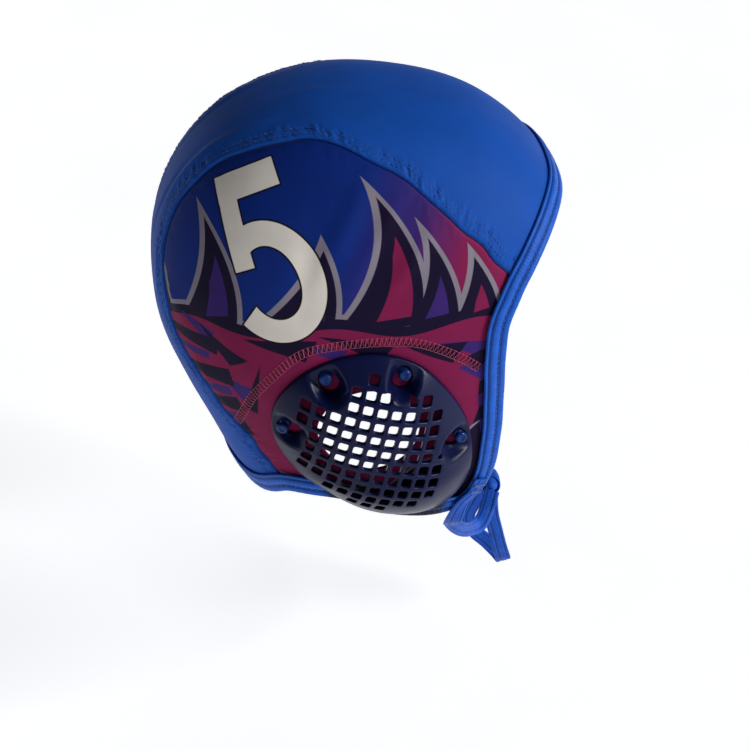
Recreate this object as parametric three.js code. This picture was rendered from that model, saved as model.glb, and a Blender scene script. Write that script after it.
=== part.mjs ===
// Water polo cap in its worn form: cloth panels, edge binding, domed ear guards, pegs and ties.
// Millimetres, Z up, the face looks along -Y, the wearer's right is -X.
// The origin is the inner top of the crown, where a head holds the cap.
import * as THREE from 'three';
import { mergeVertices } from 'three/addons/utils/BufferGeometryUtils.js';

// Head form
const halfBreadth = 74;        // ear axis to the outer cloth at its widest
const formReach = 116;         // ear axis to the outer cloth on the crown

// Cloth
const wall = 1.4;              // thickness of the cloth panels
const crownStep = 0.5;         // rise of the crown panel above the side panels
const clear = 0.3;             // gap left between neighbouring pieces
const frontCorner = 40;        // angle where the crown seam meets the face opening
const napeCorner = 229.5;      // angle where the crown seam meets the nape edge

// Edge binding
const bindWidth = 10;          // from the fold to the end of the legs
const bindLeg = 1.0;           // thickness of one leg of the folded tape
const foldRoom = 0.7;          // room between the cloth edge and the inside of the fold
const legRoom = 0.45;          // gap between the cloth and each leg

// Ear hole in the cloth, an oval round the ear axis
const holeHalfLength = 21;
const holeHalfHeight = 20;
const holeDrop = 5;            // centre of the hole below the ear axis

// Ear guard
const guardReach = 46;         // farthest outline point from the guard's centre
const guardForward = 3.2;      // guard centre ahead of the ear axis
const guardDrop = 10.9;        // guard centre below the ear axis
const guardShell = 2.0;        // thickness of the plastic
const guardRise = 14;          // height of the dome above its rim
const guardFullness = 2.6;     // how flat the top of the dome is
const pitch = 5.85;            // spacing of the lattice holes
const squareHole = 3.7;        // side of a lattice hole
const latticeTurn = 15;        // lattice turned nose down, degrees
const keyHalfWidth = 3.8;      // keyhole openings
const keyHalfLength = 5.0;
const keyInset = 1.7;          // centre of a keyhole inward of its peg
const pocketReach = 4.4;       // a pocket sinks the dome this far round each peg
const pocketSlope = 3.2;       // width of the pocket wall

// Pegs
const pegHead = 5.2;
const pegStem = 3.0;
const pegFoot = 5.2;
const pegHeight = 4.2;

// Ties
const tieDrop = 92;            // ear axis down to the knot
const knotForward = 65.5;      // knot ahead of the ear axis
const bowDrop = 50;            // knot down to the bottom of the bow
const tieWidth = 7.6;
const tieThick = 1.6;
const knotLength = 15;
const knotGirth = 10;

// Form rows: angle round the ear axis from the front, reach as a share of formReach, fullness
const formRows = [
  [0, 0.770, 2.4],
  [20, 0.850, 2.5],
  [40, 0.968, 2.6],
  [60, 1.003, 2.7],
  [80, 0.996, 2.75],
  [100, 1.000, 2.75],
  [120, 0.980, 2.65],
  [140, 0.900, 2.5],
  [160, 0.775, 2.4],
  [180, 0.665, 2.3],
  [200, 0.617, 2.3],
  [220, 0.638, 2.4],
  [240, 0.690, 2.6],
  [270, 0.740, 3.0],
  [300, 0.775, 3.0],
  [330, 0.785, 2.6],
];

// Crown seam rows: angle, half width of the crown panel as a share of halfBreadth
const seamRows = [
  [30, 0.800],
  [38.5, 0.806],
  [46, 0.820],
  [54, 0.822],
  [62, 0.808],
  [70, 0.774],
  [76, 0.732],
  [82, 0.682],
  [88, 0.622],
  [94, 0.550],
  [100, 0.482],
  [106, 0.455],
  [112, 0.415],
  [118, 0.385],
  [126, 0.355],
  [134, 0.340],
  [142, 0.385],
  [150, 0.455],
  [158, 0.520],
  [166, 0.620],
  [174, 0.665],
  [182, 0.690],
  [190, 0.735],
  [200, 0.775],
  [212, 0.800],
  [225, 0.832],
  [231, 0.838],
];

// Free edge rows of a side panel: angle, distance from the ear axis as a share of formReach
const edgeRows = [
  [236, 0.396],
  [245, 0.362],
  [255, 0.346],
  [266, 0.372],
  [278, 0.422],
  [288, 0.470],
  [296, 0.522],
  [302, 0.560],
  [307, 0.588],
  [313, 0.592],
  [320, 0.572],
  [327, 0.546],
  [338, 0.504],
  [348, 0.485],
  [358, 0.474],
  [368, 0.478],
  [379, 0.496],
  [389, 0.540],
  [395, 0.588],
];

// Crown panel edge rows: share of the half width, angle of the front edge, angle of the nape edge
const frontNapeRows = [
  [0, 41.2, 221.5],
  [0.33, 41.7, 223.5],
  [0.63, 42.4, 227],
  [0.85, 41.8, 229],
  [1, frontCorner, napeCorner],
];

// Guard outline rows: angle from the front, distance from the guard's centre as a share of guardReach
const guardRows = [
  [0, 0.852],
  [25, 0.805],
  [45, 0.820],
  [65, 0.885],
  [90, 0.950],
  [115, 0.985],
  [135, 1.000],
  [155, 0.985],
  [180, 0.895],
  [200, 0.785],
  [225, 0.680],
  [245, 0.690],
  [265, 0.760],
  [285, 0.870],
  [300, 0.965],
  [312, 0.995],
  [326, 0.975],
  [343, 0.915],
];

// Lattice outline rows: angle, share of guardReach
const latticeRows = [
  [0, 0.625],
  [25, 0.660],
  [55, 0.745],
  [90, 0.840],
  [110, 0.840],
  [130, 0.860],
  [155, 0.855],
  [175, 0.775],
  [195, 0.690],
  [215, 0.590],
  [260, 0.600],
  [290, 0.610],
  [320, 0.640],
  [345, 0.625],
];

// Peg rows: angle round the guard's centre, distance as a share of guardReach
const pegRows = [
  [165, 0.830],
  [120.5, 0.870],
  [73, 0.790],
  [0.4, 0.735],
];

const rad = THREE.MathUtils.degToRad;
const v3 = (x, y, z) => new THREE.Vector3(x, y, z);

// Smooth curve through table rows, each row led by its place
function curve(rows, column, period = 0) {
  const n = rows.length;
  const place = (i) => (period ? rows[((i % n) + n) % n][0] + period * Math.floor(i / n)
    : rows[THREE.MathUtils.clamp(i, 0, n - 1)][0]);
  const value = (i) => (period ? rows[((i % n) + n) % n][column]
    : rows[THREE.MathUtils.clamp(i, 0, n - 1)][column]);
  const slope = (i) => {
    const run = place(i + 1) - place(i - 1);
    return run > 0 ? (value(i + 1) - value(i - 1)) / run : 0;
  };
  return (at) => {
    let s = at;
    if (period) s = rows[0][0] + ((((at - rows[0][0]) % period) + period) % period);
    else s = THREE.MathUtils.clamp(at, rows[0][0], rows[n - 1][0]);
    let i = 0;
    while (i < n - (period ? 1 : 2) && place(i + 1) <= s) i += 1;
    const run = place(i + 1) - place(i);
    const t = (s - place(i)) / run;
    const a = value(i);
    const b = value(i + 1);
    const ma = slope(i) * run;
    const mb = slope(i + 1) * run;
    return (2 * t ** 3 - 3 * t ** 2 + 1) * a + (t ** 3 - 2 * t ** 2 + t) * ma
      + (3 * t ** 2 - 2 * t ** 3) * b + (t ** 3 - t ** 2) * mb;
  };
}

const reachShare = curve(formRows, 1, 360);
const fullness = curve(formRows, 2, 360);
const reachAt = (angle) => formReach * reachShare(angle);
const crownInside = wall - crownStep;
const earAxisZ = -(reachAt(90) - crownInside);

// Cloth surface: lateral distance at a place beside the ear axis, and radial distance at a half width
function lateral(angle, r) {
  const n = fullness(angle);
  return halfBreadth * Math.max(1 - (r / reachAt(angle)) ** n, 0) ** (1 / n);
}
function radial(angle, x) {
  const n = fullness(angle);
  return reachAt(angle) * Math.max(1 - (Math.abs(x) / halfBreadth) ** n, 0) ** (1 / n);
}
function angleOf(y, z) {
  return (THREE.MathUtils.radToDeg(Math.atan2(z - earAxisZ, -y)) + 360) % 360;
}
function place(angle, r, x) {
  return v3(x, -Math.cos(rad(angle)) * r, earAxisZ + Math.sin(rad(angle)) * r);
}
function level(p) {
  const angle = angleOf(p.y, p.z);
  const n = fullness(angle);
  const r = Math.hypot(p.y, p.z - earAxisZ);
  return (Math.abs(p.x) / halfBreadth) ** n + (r / reachAt(angle)) ** n;
}
function outward(p) {
  const h = 0.05;
  const d = (dx, dy, dz) => level(v3(p.x + dx, p.y + dy, p.z + dz)) - level(v3(p.x - dx, p.y - dy, p.z - dz));
  return v3(d(h, 0, 0), d(0, h, 0), d(0, 0, h)).normalize();
}
const lift = (p, d) => p.clone().addScaledVector(outward(p), d);
// Nearest place on the cloth surface, found in a few steps along the normal
function settle(p) {
  const q = p.clone();
  for (let i = 0; i < 4; i += 1) {
    const n = outward(q);
    const h = 0.05;
    const rise = (level(q.clone().addScaledVector(n, h)) - level(q.clone().addScaledVector(n, -h))) / (2 * h);
    q.addScaledVector(n, (1 - level(q)) / rise);
  }
  return q;
}

// Solid from a grid of outer and inner points, rows along i, columns along j
function slab(outer, inner, wrap) {
  const rows = outer.length;
  const cols = outer[0].length;
  const pts = [];
  for (const sheet of [outer, inner]) {
    for (const row of sheet) pts.push(...row);
  }
  const at = (s, i, j) => s * rows * cols + (i % rows) * cols + j;
  const tris = [];
  const quad = (a, b, c, d) => tris.push(a, b, c, a, c, d);
  const last = wrap ? rows : rows - 1;
  for (let i = 0; i < last; i += 1) {
    for (let j = 0; j < cols - 1; j += 1) {
      quad(at(0, i, j), at(0, i + 1, j), at(0, i + 1, j + 1), at(0, i, j + 1));
      quad(at(1, i, j), at(1, i, j + 1), at(1, i + 1, j + 1), at(1, i + 1, j));
    }
    quad(at(0, i, 0), at(1, i, 0), at(1, i + 1, 0), at(0, i + 1, 0));
    quad(at(0, i, cols - 1), at(0, i + 1, cols - 1), at(1, i + 1, cols - 1), at(1, i, cols - 1));
  }
  if (!wrap) {
    for (let j = 0; j < cols - 1; j += 1) {
      quad(at(0, 0, j), at(0, 0, j + 1), at(1, 0, j + 1), at(1, 0, j));
      quad(at(0, rows - 1, j), at(1, rows - 1, j), at(1, rows - 1, j + 1), at(0, rows - 1, j + 1));
    }
  }
  return solid(pts, tris);
}

// Body swept through a list of rings, closed end to end or capped
function sweep(rings, closed) {
  const n = rings.length;
  const m = rings[0].length;
  const pts = rings.flat();
  const tris = [];
  for (let i = 0; i < (closed ? n : n - 1); i += 1) {
    const k = (i + 1) % n;
    for (let j = 0; j < m; j += 1) {
      const l = (j + 1) % m;
      tris.push(i * m + j, i * m + l, k * m + l, i * m + j, k * m + l, k * m + j);
    }
  }
  if (!closed) {
    for (let j = 1; j < m - 1; j += 1) {
      tris.push(0, j + 1, j);
      tris.push((n - 1) * m, (n - 1) * m + j, (n - 1) * m + j + 1);
    }
  }
  return solid(pts, tris);
}

// Geometry with its faces turned outward
function solid(pts, tris) {
  let volume = 0;
  for (let i = 0; i < tris.length; i += 3) {
    const [a, b, c] = [pts[tris[i]], pts[tris[i + 1]], pts[tris[i + 2]]];
    volume += a.dot(b.clone().cross(c));
  }
  const order = volume < 0 ? tris.slice().reverse() : tris;
  const g = new THREE.BufferGeometry();
  g.setAttribute('position', new THREE.Float32BufferAttribute(pts.flatMap((p) => [p.x, p.y, p.z]), 3));
  g.setIndex(order);
  return g;
}

const group = new THREE.Group();
group.name = 'water_polo_cap';
function add(name, geometry, color, roughness) {
  const g = mergeVertices(geometry, 1e-4);
  g.computeVertexNormals();
  const mesh = new THREE.Mesh(g, new THREE.MeshStandardMaterial({ color, roughness, metalness: 0 }));
  mesh.name = name;
  group.add(mesh);
}

// Crown panel
const seamShare = curve(seamRows, 1);
const seamAt = (angle) => halfBreadth * seamShare(angle);
const frontAngle = curve(frontNapeRows, 1);
const napeAngle = curve(frontNapeRows, 2);
const crownRows = 37;
const crownHalf = 5;
const crownShares = [];
for (let j = -crownHalf; j <= crownHalf; j += 1) {
  const s = j / crownHalf;
  crownShares.push(0.4 * s + 0.6 * Math.sin((Math.PI / 2) * s));
}
function crownPoint(v, u) {
  const angle = THREE.MathUtils.lerp(frontAngle(Math.abs(u)), napeAngle(Math.abs(u)), v);
  const x = u * (seamAt(angle) - clear / 2);
  return place(angle, radial(angle, x), x);
}
function crownSheet(d) {
  const sheet = [];
  for (let i = 0; i < crownRows; i += 1) {
    sheet.push(crownShares.map((u) => lift(crownPoint(i / (crownRows - 1), u), d)));
  }
  return sheet;
}
add('crown_panel', slab(crownSheet(crownStep), crownSheet(-crownInside), false), 0x3464ba, 0.55);

// Side panels, rings of stations round the ear axis from the outer edge in to the ear hole
const seamRadius = (angle) => radial(angle, seamAt(angle) + clear / 2);
const freeRows = [[napeCorner, seamRadius(napeCorner) / formReach], ...edgeRows,
  [360 + frontCorner, seamRadius(frontCorner) / formReach]];
const freeShare = curve(freeRows, 1);
const freeRadius = (angle) => formReach * freeShare(angle);
const panelAngles = [];
const seamSteps = crownRows - 1;
const freeSteps = 26;
for (let i = 0; i < seamSteps; i += 1) {
  panelAngles.push(THREE.MathUtils.lerp(frontCorner, napeCorner, i / seamSteps));
}
for (let i = 0; i < freeSteps; i += 1) {
  panelAngles.push(THREE.MathUtils.lerp(napeCorner, 360 + frontCorner, i / freeSteps));
}
const ringShares = [0, 0.16, 0.38, 0.68, 1];
const outerRadius = (angle) => (angle <= napeCorner ? seamRadius(angle) : freeRadius(angle));
function holeRadius(angle) {
  const c = Math.cos(rad(angle));
  const s = Math.sin(rad(angle));
  const a = (c / holeHalfLength) ** 2 + (s / holeHalfHeight) ** 2;
  const b = (s * holeDrop) / holeHalfHeight ** 2;
  const k = (holeDrop / holeHalfHeight) ** 2 - 1;
  return (-b + Math.sqrt(b * b - a * k)) / a;
}
function panelSheet(side, d) {
  return panelAngles.map((angle) => {
    return ringShares.map((share) => {
      const r = THREE.MathUtils.lerp(outerRadius(angle), holeRadius(angle), share);
      return lift(place(angle, r, side * lateral(angle, r)), d);
    });
  });
}
const sides = [['right', -1], ['left', 1]];
for (const [name, side] of sides) {
  add(`side_panel_${name}`, slab(panelSheet(side, 0), panelSheet(side, -wall), true), 0x5a2350, 0.6);
}

// Edge binding, a folded tape round the face opening and the nape in one loop
const bindTop = crownStep + legRoom + bindLeg;
const bindUnder = -wall - legRoom - bindLeg;
function edgeLoop() {
  const line = [];
  const shares = crownShares.slice(0, -1);
  const steps = [...Array(freeSteps).keys()];
  for (const u of shares) line.push(crownPoint(0, u));
  for (const i of steps) {
    const angle = THREE.MathUtils.lerp(360 + frontCorner, napeCorner, i / freeSteps);
    const r = freeRadius(angle);
    line.push(place(angle, r, lateral(angle, r)));
  }
  for (const u of shares) line.push(crownPoint(1, -u));
  for (const i of steps) {
    const angle = THREE.MathUtils.lerp(napeCorner, 360 + frontCorner, i / freeSteps);
    const r = freeRadius(angle);
    line.push(place(angle, r, -lateral(angle, r)));
  }
  return line;
}
const bindStations = 92;
const loopCurve = new THREE.CatmullRomCurve3(edgeLoop(), true, 'centripetal');
loopCurve.arcLengthDivisions = 1200;
const foldOut = -bindLeg - foldRoom;
const bindSection = [
  [bindWidth + foldOut, bindTop - bindLeg],
  [bindWidth + foldOut, bindTop],
  [foldOut + 0.8, bindTop],
  [foldOut, (bindTop + bindUnder) / 2],
  [foldOut + 0.8, bindUnder],
  [bindWidth + foldOut, bindUnder],
  [bindWidth + foldOut, bindUnder + bindLeg],
  [-foldRoom, bindUnder + bindLeg],
  [-foldRoom, bindTop - bindLeg],
];
function bindRings(section) {
  const rings = [];
  for (let i = 0; i < bindStations; i += 1) {
    const u = i / bindStations;
    const p = loopCurve.getPointAt(u);
    const t = loopCurve.getTangentAt(u);
    const inward = outward(p).cross(t).normalize();
    rings.push(section.map(([b, h]) => {
      const q = settle(p.clone().addScaledVector(inward, b));
      return lift(q, h);
    }));
  }
  return rings;
}
add('edge_binding', sweep(bindRings(bindSection), true), 0x2b52a1, 0.5);

// Ear guards: a flat outline with its openings, raised into a dome
const guardEdge = curve(guardRows, 1, 360);
const latticeEdge = curve(latticeRows, 1, 360);
const guardY = -guardForward;
const guardZ = earAxisZ - guardDrop;
const polar = (angle, r) => new THREE.Vector2(-Math.cos(rad(angle)) * r, Math.sin(rad(angle)) * r);
const polarOf = (p) => (THREE.MathUtils.radToDeg(Math.atan2(p.y, -p.x)) + 360) % 360;
const pegs = pegRows.map(([angle, share]) => ({ angle, r: share * guardReach }));
const guardSides = 44;
const outline = [];
for (let i = 0; i < guardSides; i += 1) {
  const angle = (360 * i) / guardSides;
  outline.push(polar(angle, guardReach * guardEdge(angle)));
}
const keyholes = pegs.map(({ angle, r }) => {
  const centre = polar(angle, r - keyInset);
  const radialWay = polar(angle, 1);
  const sideWay = new THREE.Vector2(-radialWay.y, radialWay.x);
  const ring = [];
  for (let i = 0; i < 12; i += 1) {
    const a = rad(30 * i);
    const taper = 1 - 0.18 * Math.cos(a);
    ring.push(centre.clone().addScaledVector(radialWay, keyHalfLength * Math.cos(a))
      .addScaledVector(sideWay, keyHalfWidth * taper * Math.sin(a)));
  }
  return { centre, ring };
});
const alongRow = polar(-latticeTurn, 1);
const downColumn = polar(-90 - latticeTurn, 1);
const latticeHoles = [];
for (let i = -8; i <= 8; i += 1) {
  for (let j = -8; j <= 8; j += 1) {
    const c = new THREE.Vector2(0, pitch * 0.3).addScaledVector(alongRow, (i + 0.2) * pitch)
      .addScaledVector(downColumn, (j + 0.4) * pitch);
    const corners = [[-1, -1], [1, -1], [1, 1], [-1, 1]].map(([a, b]) => c.clone()
      .addScaledVector(alongRow, (a * squareHole) / 2).addScaledVector(downColumn, (b * squareHole) / 2));
    const inside = corners.every((p) => p.length() < guardReach * latticeEdge(polarOf(p)) + pitch / 4);
    const free = keyholes.every((k) => k.centre.distanceTo(c) > keyHalfLength + squareHole * 0.7);
    if (inside && free) latticeHoles.push(corners);
  }
}

// Flat triangles over an outline with openings, long inner edges split in half
function flatMesh(contour, holes, longest) {
  const pts = [contour, ...holes].flat().map((p) => p.clone());
  let tris = THREE.ShapeUtils.triangulateShape(contour, holes).map((t) => t.slice());
  const key = (a, b) => (a < b ? `${a}_${b}` : `${b}_${a}`);
  const cross = (a, b, c) => (b.x - a.x) * (c.y - a.y) - (b.y - a.y) * (c.x - a.x);
  tris.forEach((t) => {
    if (cross(pts[t[0]], pts[t[1]], pts[t[2]]) < 0) t.reverse();
  });
  const edgeMap = () => {
    const map = new Map();
    tris.forEach((t, k) => {
      for (let e = 0; e < 3; e += 1) {
        const id = key(t[e], t[(e + 1) % 3]);
        if (!map.has(id)) map.set(id, []);
        map.get(id).push([k, e]);
      }
    });
    return map;
  };
  const relax = () => {
    for (let pass = 0; pass < 12; pass += 1) {
      let moved = 0;
      const used = new Set();
      for (const owners of edgeMap().values()) {
        if (owners.length !== 2) continue;
        const [[k, e], [l, f]] = owners;
        if (used.has(k) || used.has(l)) continue;
        const a = tris[k][e];
        const b = tris[k][(e + 1) % 3];
        const c = tris[k][(e + 2) % 3];
        const d = tris[l][(f + 2) % 3];
        const wide = (p, q, r) => pts[q].clone().sub(pts[p]).angleTo(pts[r].clone().sub(pts[p]));
        if (wide(c, a, b) + wide(d, a, b) < Math.PI + 0.01) continue;
        if (cross(pts[c], pts[a], pts[d]) < 1e-6 || cross(pts[c], pts[d], pts[b]) < 1e-6) continue;
        tris[k] = [c, a, d];
        tris[l] = [c, d, b];
        used.add(k);
        used.add(l);
        moved += 1;
      }
      if (!moved) break;
    }
  };
  relax();
  for (let pass = 0; pass < 2; pass += 1) {
    const middle = new Map();
    for (const [id, owners] of edgeMap()) {
      const [a, b] = id.split('_').map(Number);
      if (owners.length === 2 && pts[a].distanceTo(pts[b]) > longest) {
        middle.set(id, pts.length);
        pts.push(pts[a].clone().lerp(pts[b], 0.5));
      }
    }
    const next = [];
    for (const t of tris) {
      const m = [0, 1, 2].map((e) => middle.get(key(t[e], t[(e + 1) % 3])));
      const count = m.filter((q) => q !== undefined).length;
      if (count === 0) next.push(t);
      if (count === 3) {
        next.push([t[0], m[0], m[2]], [m[0], t[1], m[1]], [m[2], m[1], t[2]], [m[0], m[1], m[2]]);
      }
      if (count === 1) {
        const e = m.findIndex((q) => q !== undefined);
        const [a, b, c] = [t[e], t[(e + 1) % 3], t[(e + 2) % 3]];
        next.push([a, m[e], c], [m[e], b, c]);
      }
      if (count === 2) {
        const e = m.findIndex((q) => q === undefined);
        const [a, b, c] = [t[e], t[(e + 1) % 3], t[(e + 2) % 3]];
        const [bc, ca] = [m[(e + 1) % 3], m[(e + 2) % 3]];
        next.push([a, b, bc], [a, bc, ca], [bc, c, ca]);
      }
    }
    tris = next;
    relax();
  }
  return { pts, tris, loops: [contour, ...holes].map((h) => h.length) };
}
const openings = [...keyholes.map((k) => k.ring), ...latticeHoles];
const guardFlat = flatMesh(outline, openings, 8);

// Guard surface: height above the cloth at a place on the flat outline
const smooth = (t) => {
  const s = THREE.MathUtils.clamp(t, 0, 1);
  return s * s * (3 - 2 * s);
};
function pocketShare(p) {
  let share = 1;
  for (const { angle, r } of pegs) {
    const way = polar(angle, 1);
    const along = THREE.MathUtils.clamp(p.dot(way), r - keyInset, r + keyInset);
    share = Math.min(share, smooth((p.distanceTo(way.multiplyScalar(along)) - pocketReach) / pocketSlope));
  }
  return share;
}
function guardHeight(p) {
  const share = Math.min(p.length() / (guardReach * guardEdge(polarOf(p))), 1);
  const stand = clear + bindTop * smooth((-p.y - 4) / 13);
  return stand + guardRise * (1 - share ** guardFullness) * pocketShare(p);
}
function guardPoint(p, side, d) {
  const y = guardY + p.x;
  const z = guardZ + p.y;
  const angle = angleOf(y, z);
  const r = Math.hypot(y, z - earAxisZ);
  return v3(side * (lateral(angle, r) + guardHeight(p) + d), y, z);
}
function guardShape(side) {
  const { pts, tris, loops } = guardFlat;
  const n = pts.length;
  const all = [...pts.map((p) => guardPoint(p, side, guardShell)), ...pts.map((p) => guardPoint(p, side, 0))];
  const index = [];
  for (const [a, b, c] of tris) index.push(a, b, c, n + a, n + c, n + b);
  let start = 0;
  loops.forEach((count) => {
    const ring = [...Array(count).keys()].map((i) => start + i);
    const area = ring.reduce((s, a, i) => {
      const b = ring[(i + 1) % count];
      return s + pts[a].x * pts[b].y - pts[b].x * pts[a].y;
    }, 0);
    const outer = start === 0;
    if ((area > 0) !== outer) ring.reverse();
    ring.forEach((a, i) => {
      const b = ring[(i + 1) % count];
      index.push(a, n + a, n + b, a, n + b, b);
    });
    start += count;
  });
  return solid(all, index);
}
for (const [name, side] of sides) {
  add(`ear_guard_${name}`, guardShape(side), 0x151736, 0.28);
}

// Pegs, turned buttons standing on the cloth in the keyholes
const pegProfile = [
  [0, 0],
  [pegFoot / 2, 0],
  [pegFoot / 2, 0.8],
  [pegStem / 2, 1.2],
  [pegStem / 2, pegHeight * 0.62],
  [pegHead / 2, pegHeight * 0.68],
  [pegHead * 0.42, pegHeight * 0.95],
  [pegHead * 0.2, pegHeight],
  [0, pegHeight * 0.9],
].map(([x, y]) => new THREE.Vector2(x, y));
for (const [name, side] of sides) {
  pegs.forEach(({ angle, r }, i) => {
    const p = polar(angle, r);
    const y = guardY + p.x;
    const z = guardZ + p.y;
    const foot = v3(side * lateral(angleOf(y, z), Math.hypot(y, z - earAxisZ)), y, z);
    const way = outward(foot);
    const g = new THREE.LatheGeometry(pegProfile, 8);
    g.deleteAttribute('normal');
    g.deleteAttribute('uv');
    g.applyQuaternion(new THREE.Quaternion().setFromUnitVectors(v3(0, 1, 0), way));
    const stand = foot.clone().addScaledVector(way, clear + 0.15);
    g.translate(stand.x, stand.y, stand.z);
    add(`peg_${name}_${i + 1}`, g, 0x1c4a8e, 0.2);
  });
}

// Knot, a small rounded body between the ties
const knotAt = v3(0, -knotForward, earAxisZ - tieDrop);
const knot = new THREE.SphereGeometry(0.5, 10, 7);
knot.deleteAttribute('normal');
knot.deleteAttribute('uv');
knot.scale(knotLength, knotGirth, knotGirth);
knot.translate(...knotAt.toArray());
add('knot', knot, 0x2b52a1, 0.55);

// Tie rows: shares of the run from the corner of the binding to the knot, then the way the face looks
const rightTieRows = [
  [0.042, -0.114, 0.278, -0.95, 0.05, -0.10],
  [0.217, -0.050, 0.560, -0.90, 0.08, 0.25],
  [0.360, 0.200, 0.850, -0.85, 0.10, 0.45],
  [0.512, 0.450, 1.055, -0.82, 0.10, 0.50],
  [0.661, 0.690, 1.190, -0.82, 0.10, 0.50],
  [0.785, 0.860, 1.175, -0.82, 0.10, 0.50],
];
const leftTieRows = [
  [0.082, -0.030, 0.226, 0.75, -0.35, -0.55],
  [0.254, 0.276, 0.603, 0.50, -0.45, -0.70],
  [0.483, 0.620, 0.909, 0.35, -0.50, -0.75],
  [0.684, 0.887, 1.039, 0.25, -0.80, -0.50],
];
// Bow rows: shares of bowDrop from the knot, then the way the face looks
const bowRows = [
  [-0.120, -0.012, -0.326, -0.95, 0.05, 0.20],
  [-0.125, -0.062, -0.535, -0.95, 0.05, 0.20],
  [-0.118, -0.119, -0.774, -0.95, 0.05, 0.20],
  [-0.076, -0.164, -0.938, -0.90, 0.05, -0.10],
  [0.000, -0.176, -1.006, -0.20, -0.30, -0.90],
  [0.065, -0.134, -0.972, 0.70, -0.20, -0.60],
  [0.099, -0.031, -0.858, 0.95, 0.05, -0.20],
  [0.114, 0.102, -0.715, 0.95, 0.05, -0.15],
  [0.114, 0.170, -0.535, 0.98, 0.05, 0.00],
  [0.099, 0.122, -0.364, 0.98, 0.05, 0.10],
];
const overBinding = bindTop + clear + tieThick / 2 + clear;
// Stations of one tie, from the outside of the binding at the lower front corner to the knot
function tieStations(rows, side) {
  const stations = [[321, 0.54], [314.5, 0.52], [308, 0.44]].map(([angle, share]) => {
    const r = freeRadius(angle) - share * bindWidth;
    const p = place(angle, r, side * lateral(angle, r));
    return { at: lift(p, overBinding), face: outward(p) };
  });
  const corner = stations[stations.length - 1].at;
  const run = knotAt.clone().sub(corner);
  for (const [x, y, z, a, b, c] of rows) {
    stations.push({ at: corner.clone().add(v3(x, y, z).multiply(run)), face: v3(a, b, c).normalize() });
  }
  const end = v3(side * (knotLength / 2 + tieThick / 2), 0, 0).add(knotAt);
  stations.push({ at: end, face: stations[stations.length - 1].face });
  return stations;
}
// Stations of the bow, which leaves the underside of the knot and comes back to it
function bowStations() {
  const ends = [[-0.099, 0.005], [0.087, 0.005]].map(([x, y]) => {
    const nearest = (Math.abs(x) * bowDrop - tieThick / 2) / (knotLength / 2);
    const under = (knotGirth / 2) * Math.sqrt(1 - nearest ** 2) + 1.5 * clear;
    return { at: knotAt.clone().add(v3(x * bowDrop, y * bowDrop, -under)), face: v3(Math.sign(x), 0.05, 0.2).normalize() };
  });
  const middle = bowRows.map(([x, y, z, a, b, c]) => {
    return { at: knotAt.clone().addScaledVector(v3(x, y, z), bowDrop), face: v3(a, b, c).normalize() };
  });
  return [ends[0], ...middle, ends[1]];
}
// Flat tape through its stations, with bevelled edges
function tape(stations, count) {
  const line = new THREE.CatmullRomCurve3(stations.map((s) => s.at), false, 'centripetal');
  const rings = [];
  for (let i = 0; i < count; i += 1) {
    const u = i / (count - 1);
    const k = u * (stations.length - 1);
    const a = Math.min(Math.floor(k), stations.length - 2);
    const p = line.getPoint(u);
    const t = line.getTangent(u);
    const face = stations[a].face.clone().lerp(stations[a + 1].face, k - a);
    const across = t.clone().cross(face).normalize();
    const up = across.clone().cross(t).normalize();
    const w = tieWidth / 2;
    const h = tieThick / 2;
    rings.push([[-w, 0], [-w * 0.86, -h], [w * 0.86, -h], [w, 0], [w * 0.86, h], [-w * 0.86, h]]
      .map(([b, n]) => p.clone().addScaledVector(across, b).addScaledVector(up, n)));
  }
  return sweep(rings, false);
}
add('tie_right', tape(tieStations(rightTieRows, -1), 26), 0x2b52a1, 0.5);
add('tie_left', tape(tieStations(leftTieRows, 1), 18), 0x2b52a1, 0.5);
add('bow_loop', tape(bowStations(), 28), 0x2b52a1, 0.5);

export default group;
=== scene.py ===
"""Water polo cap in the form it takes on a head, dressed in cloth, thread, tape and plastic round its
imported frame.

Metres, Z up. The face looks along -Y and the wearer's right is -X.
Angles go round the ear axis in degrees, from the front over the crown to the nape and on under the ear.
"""

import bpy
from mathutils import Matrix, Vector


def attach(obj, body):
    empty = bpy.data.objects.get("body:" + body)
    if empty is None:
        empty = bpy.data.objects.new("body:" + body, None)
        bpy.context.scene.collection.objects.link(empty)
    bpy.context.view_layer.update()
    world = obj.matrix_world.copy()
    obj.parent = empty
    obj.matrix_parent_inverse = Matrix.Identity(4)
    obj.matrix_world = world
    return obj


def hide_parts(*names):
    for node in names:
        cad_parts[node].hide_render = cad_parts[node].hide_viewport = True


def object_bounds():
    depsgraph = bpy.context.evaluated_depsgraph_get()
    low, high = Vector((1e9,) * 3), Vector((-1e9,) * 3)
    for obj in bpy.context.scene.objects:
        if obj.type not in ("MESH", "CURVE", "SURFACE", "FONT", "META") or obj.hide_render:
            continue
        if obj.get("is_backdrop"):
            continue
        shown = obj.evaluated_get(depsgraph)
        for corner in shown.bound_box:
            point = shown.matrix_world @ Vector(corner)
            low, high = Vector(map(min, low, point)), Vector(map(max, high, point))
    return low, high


bl_info = {
    "name": "Water Polo Cap",
    "version": (1, 0, 0),
    "blender": (4, 5, 0),
    "location": "3D View > Sidebar > Cap",
    "description": "Dresses the packed water polo cap in cloth, thread, tape and plastic",
    "category": "Add Mesh",
}

import math

import bpy
import numpy as np
from mathutils import Vector
from mathutils.geometry import delaunay_2d_cdt

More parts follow.
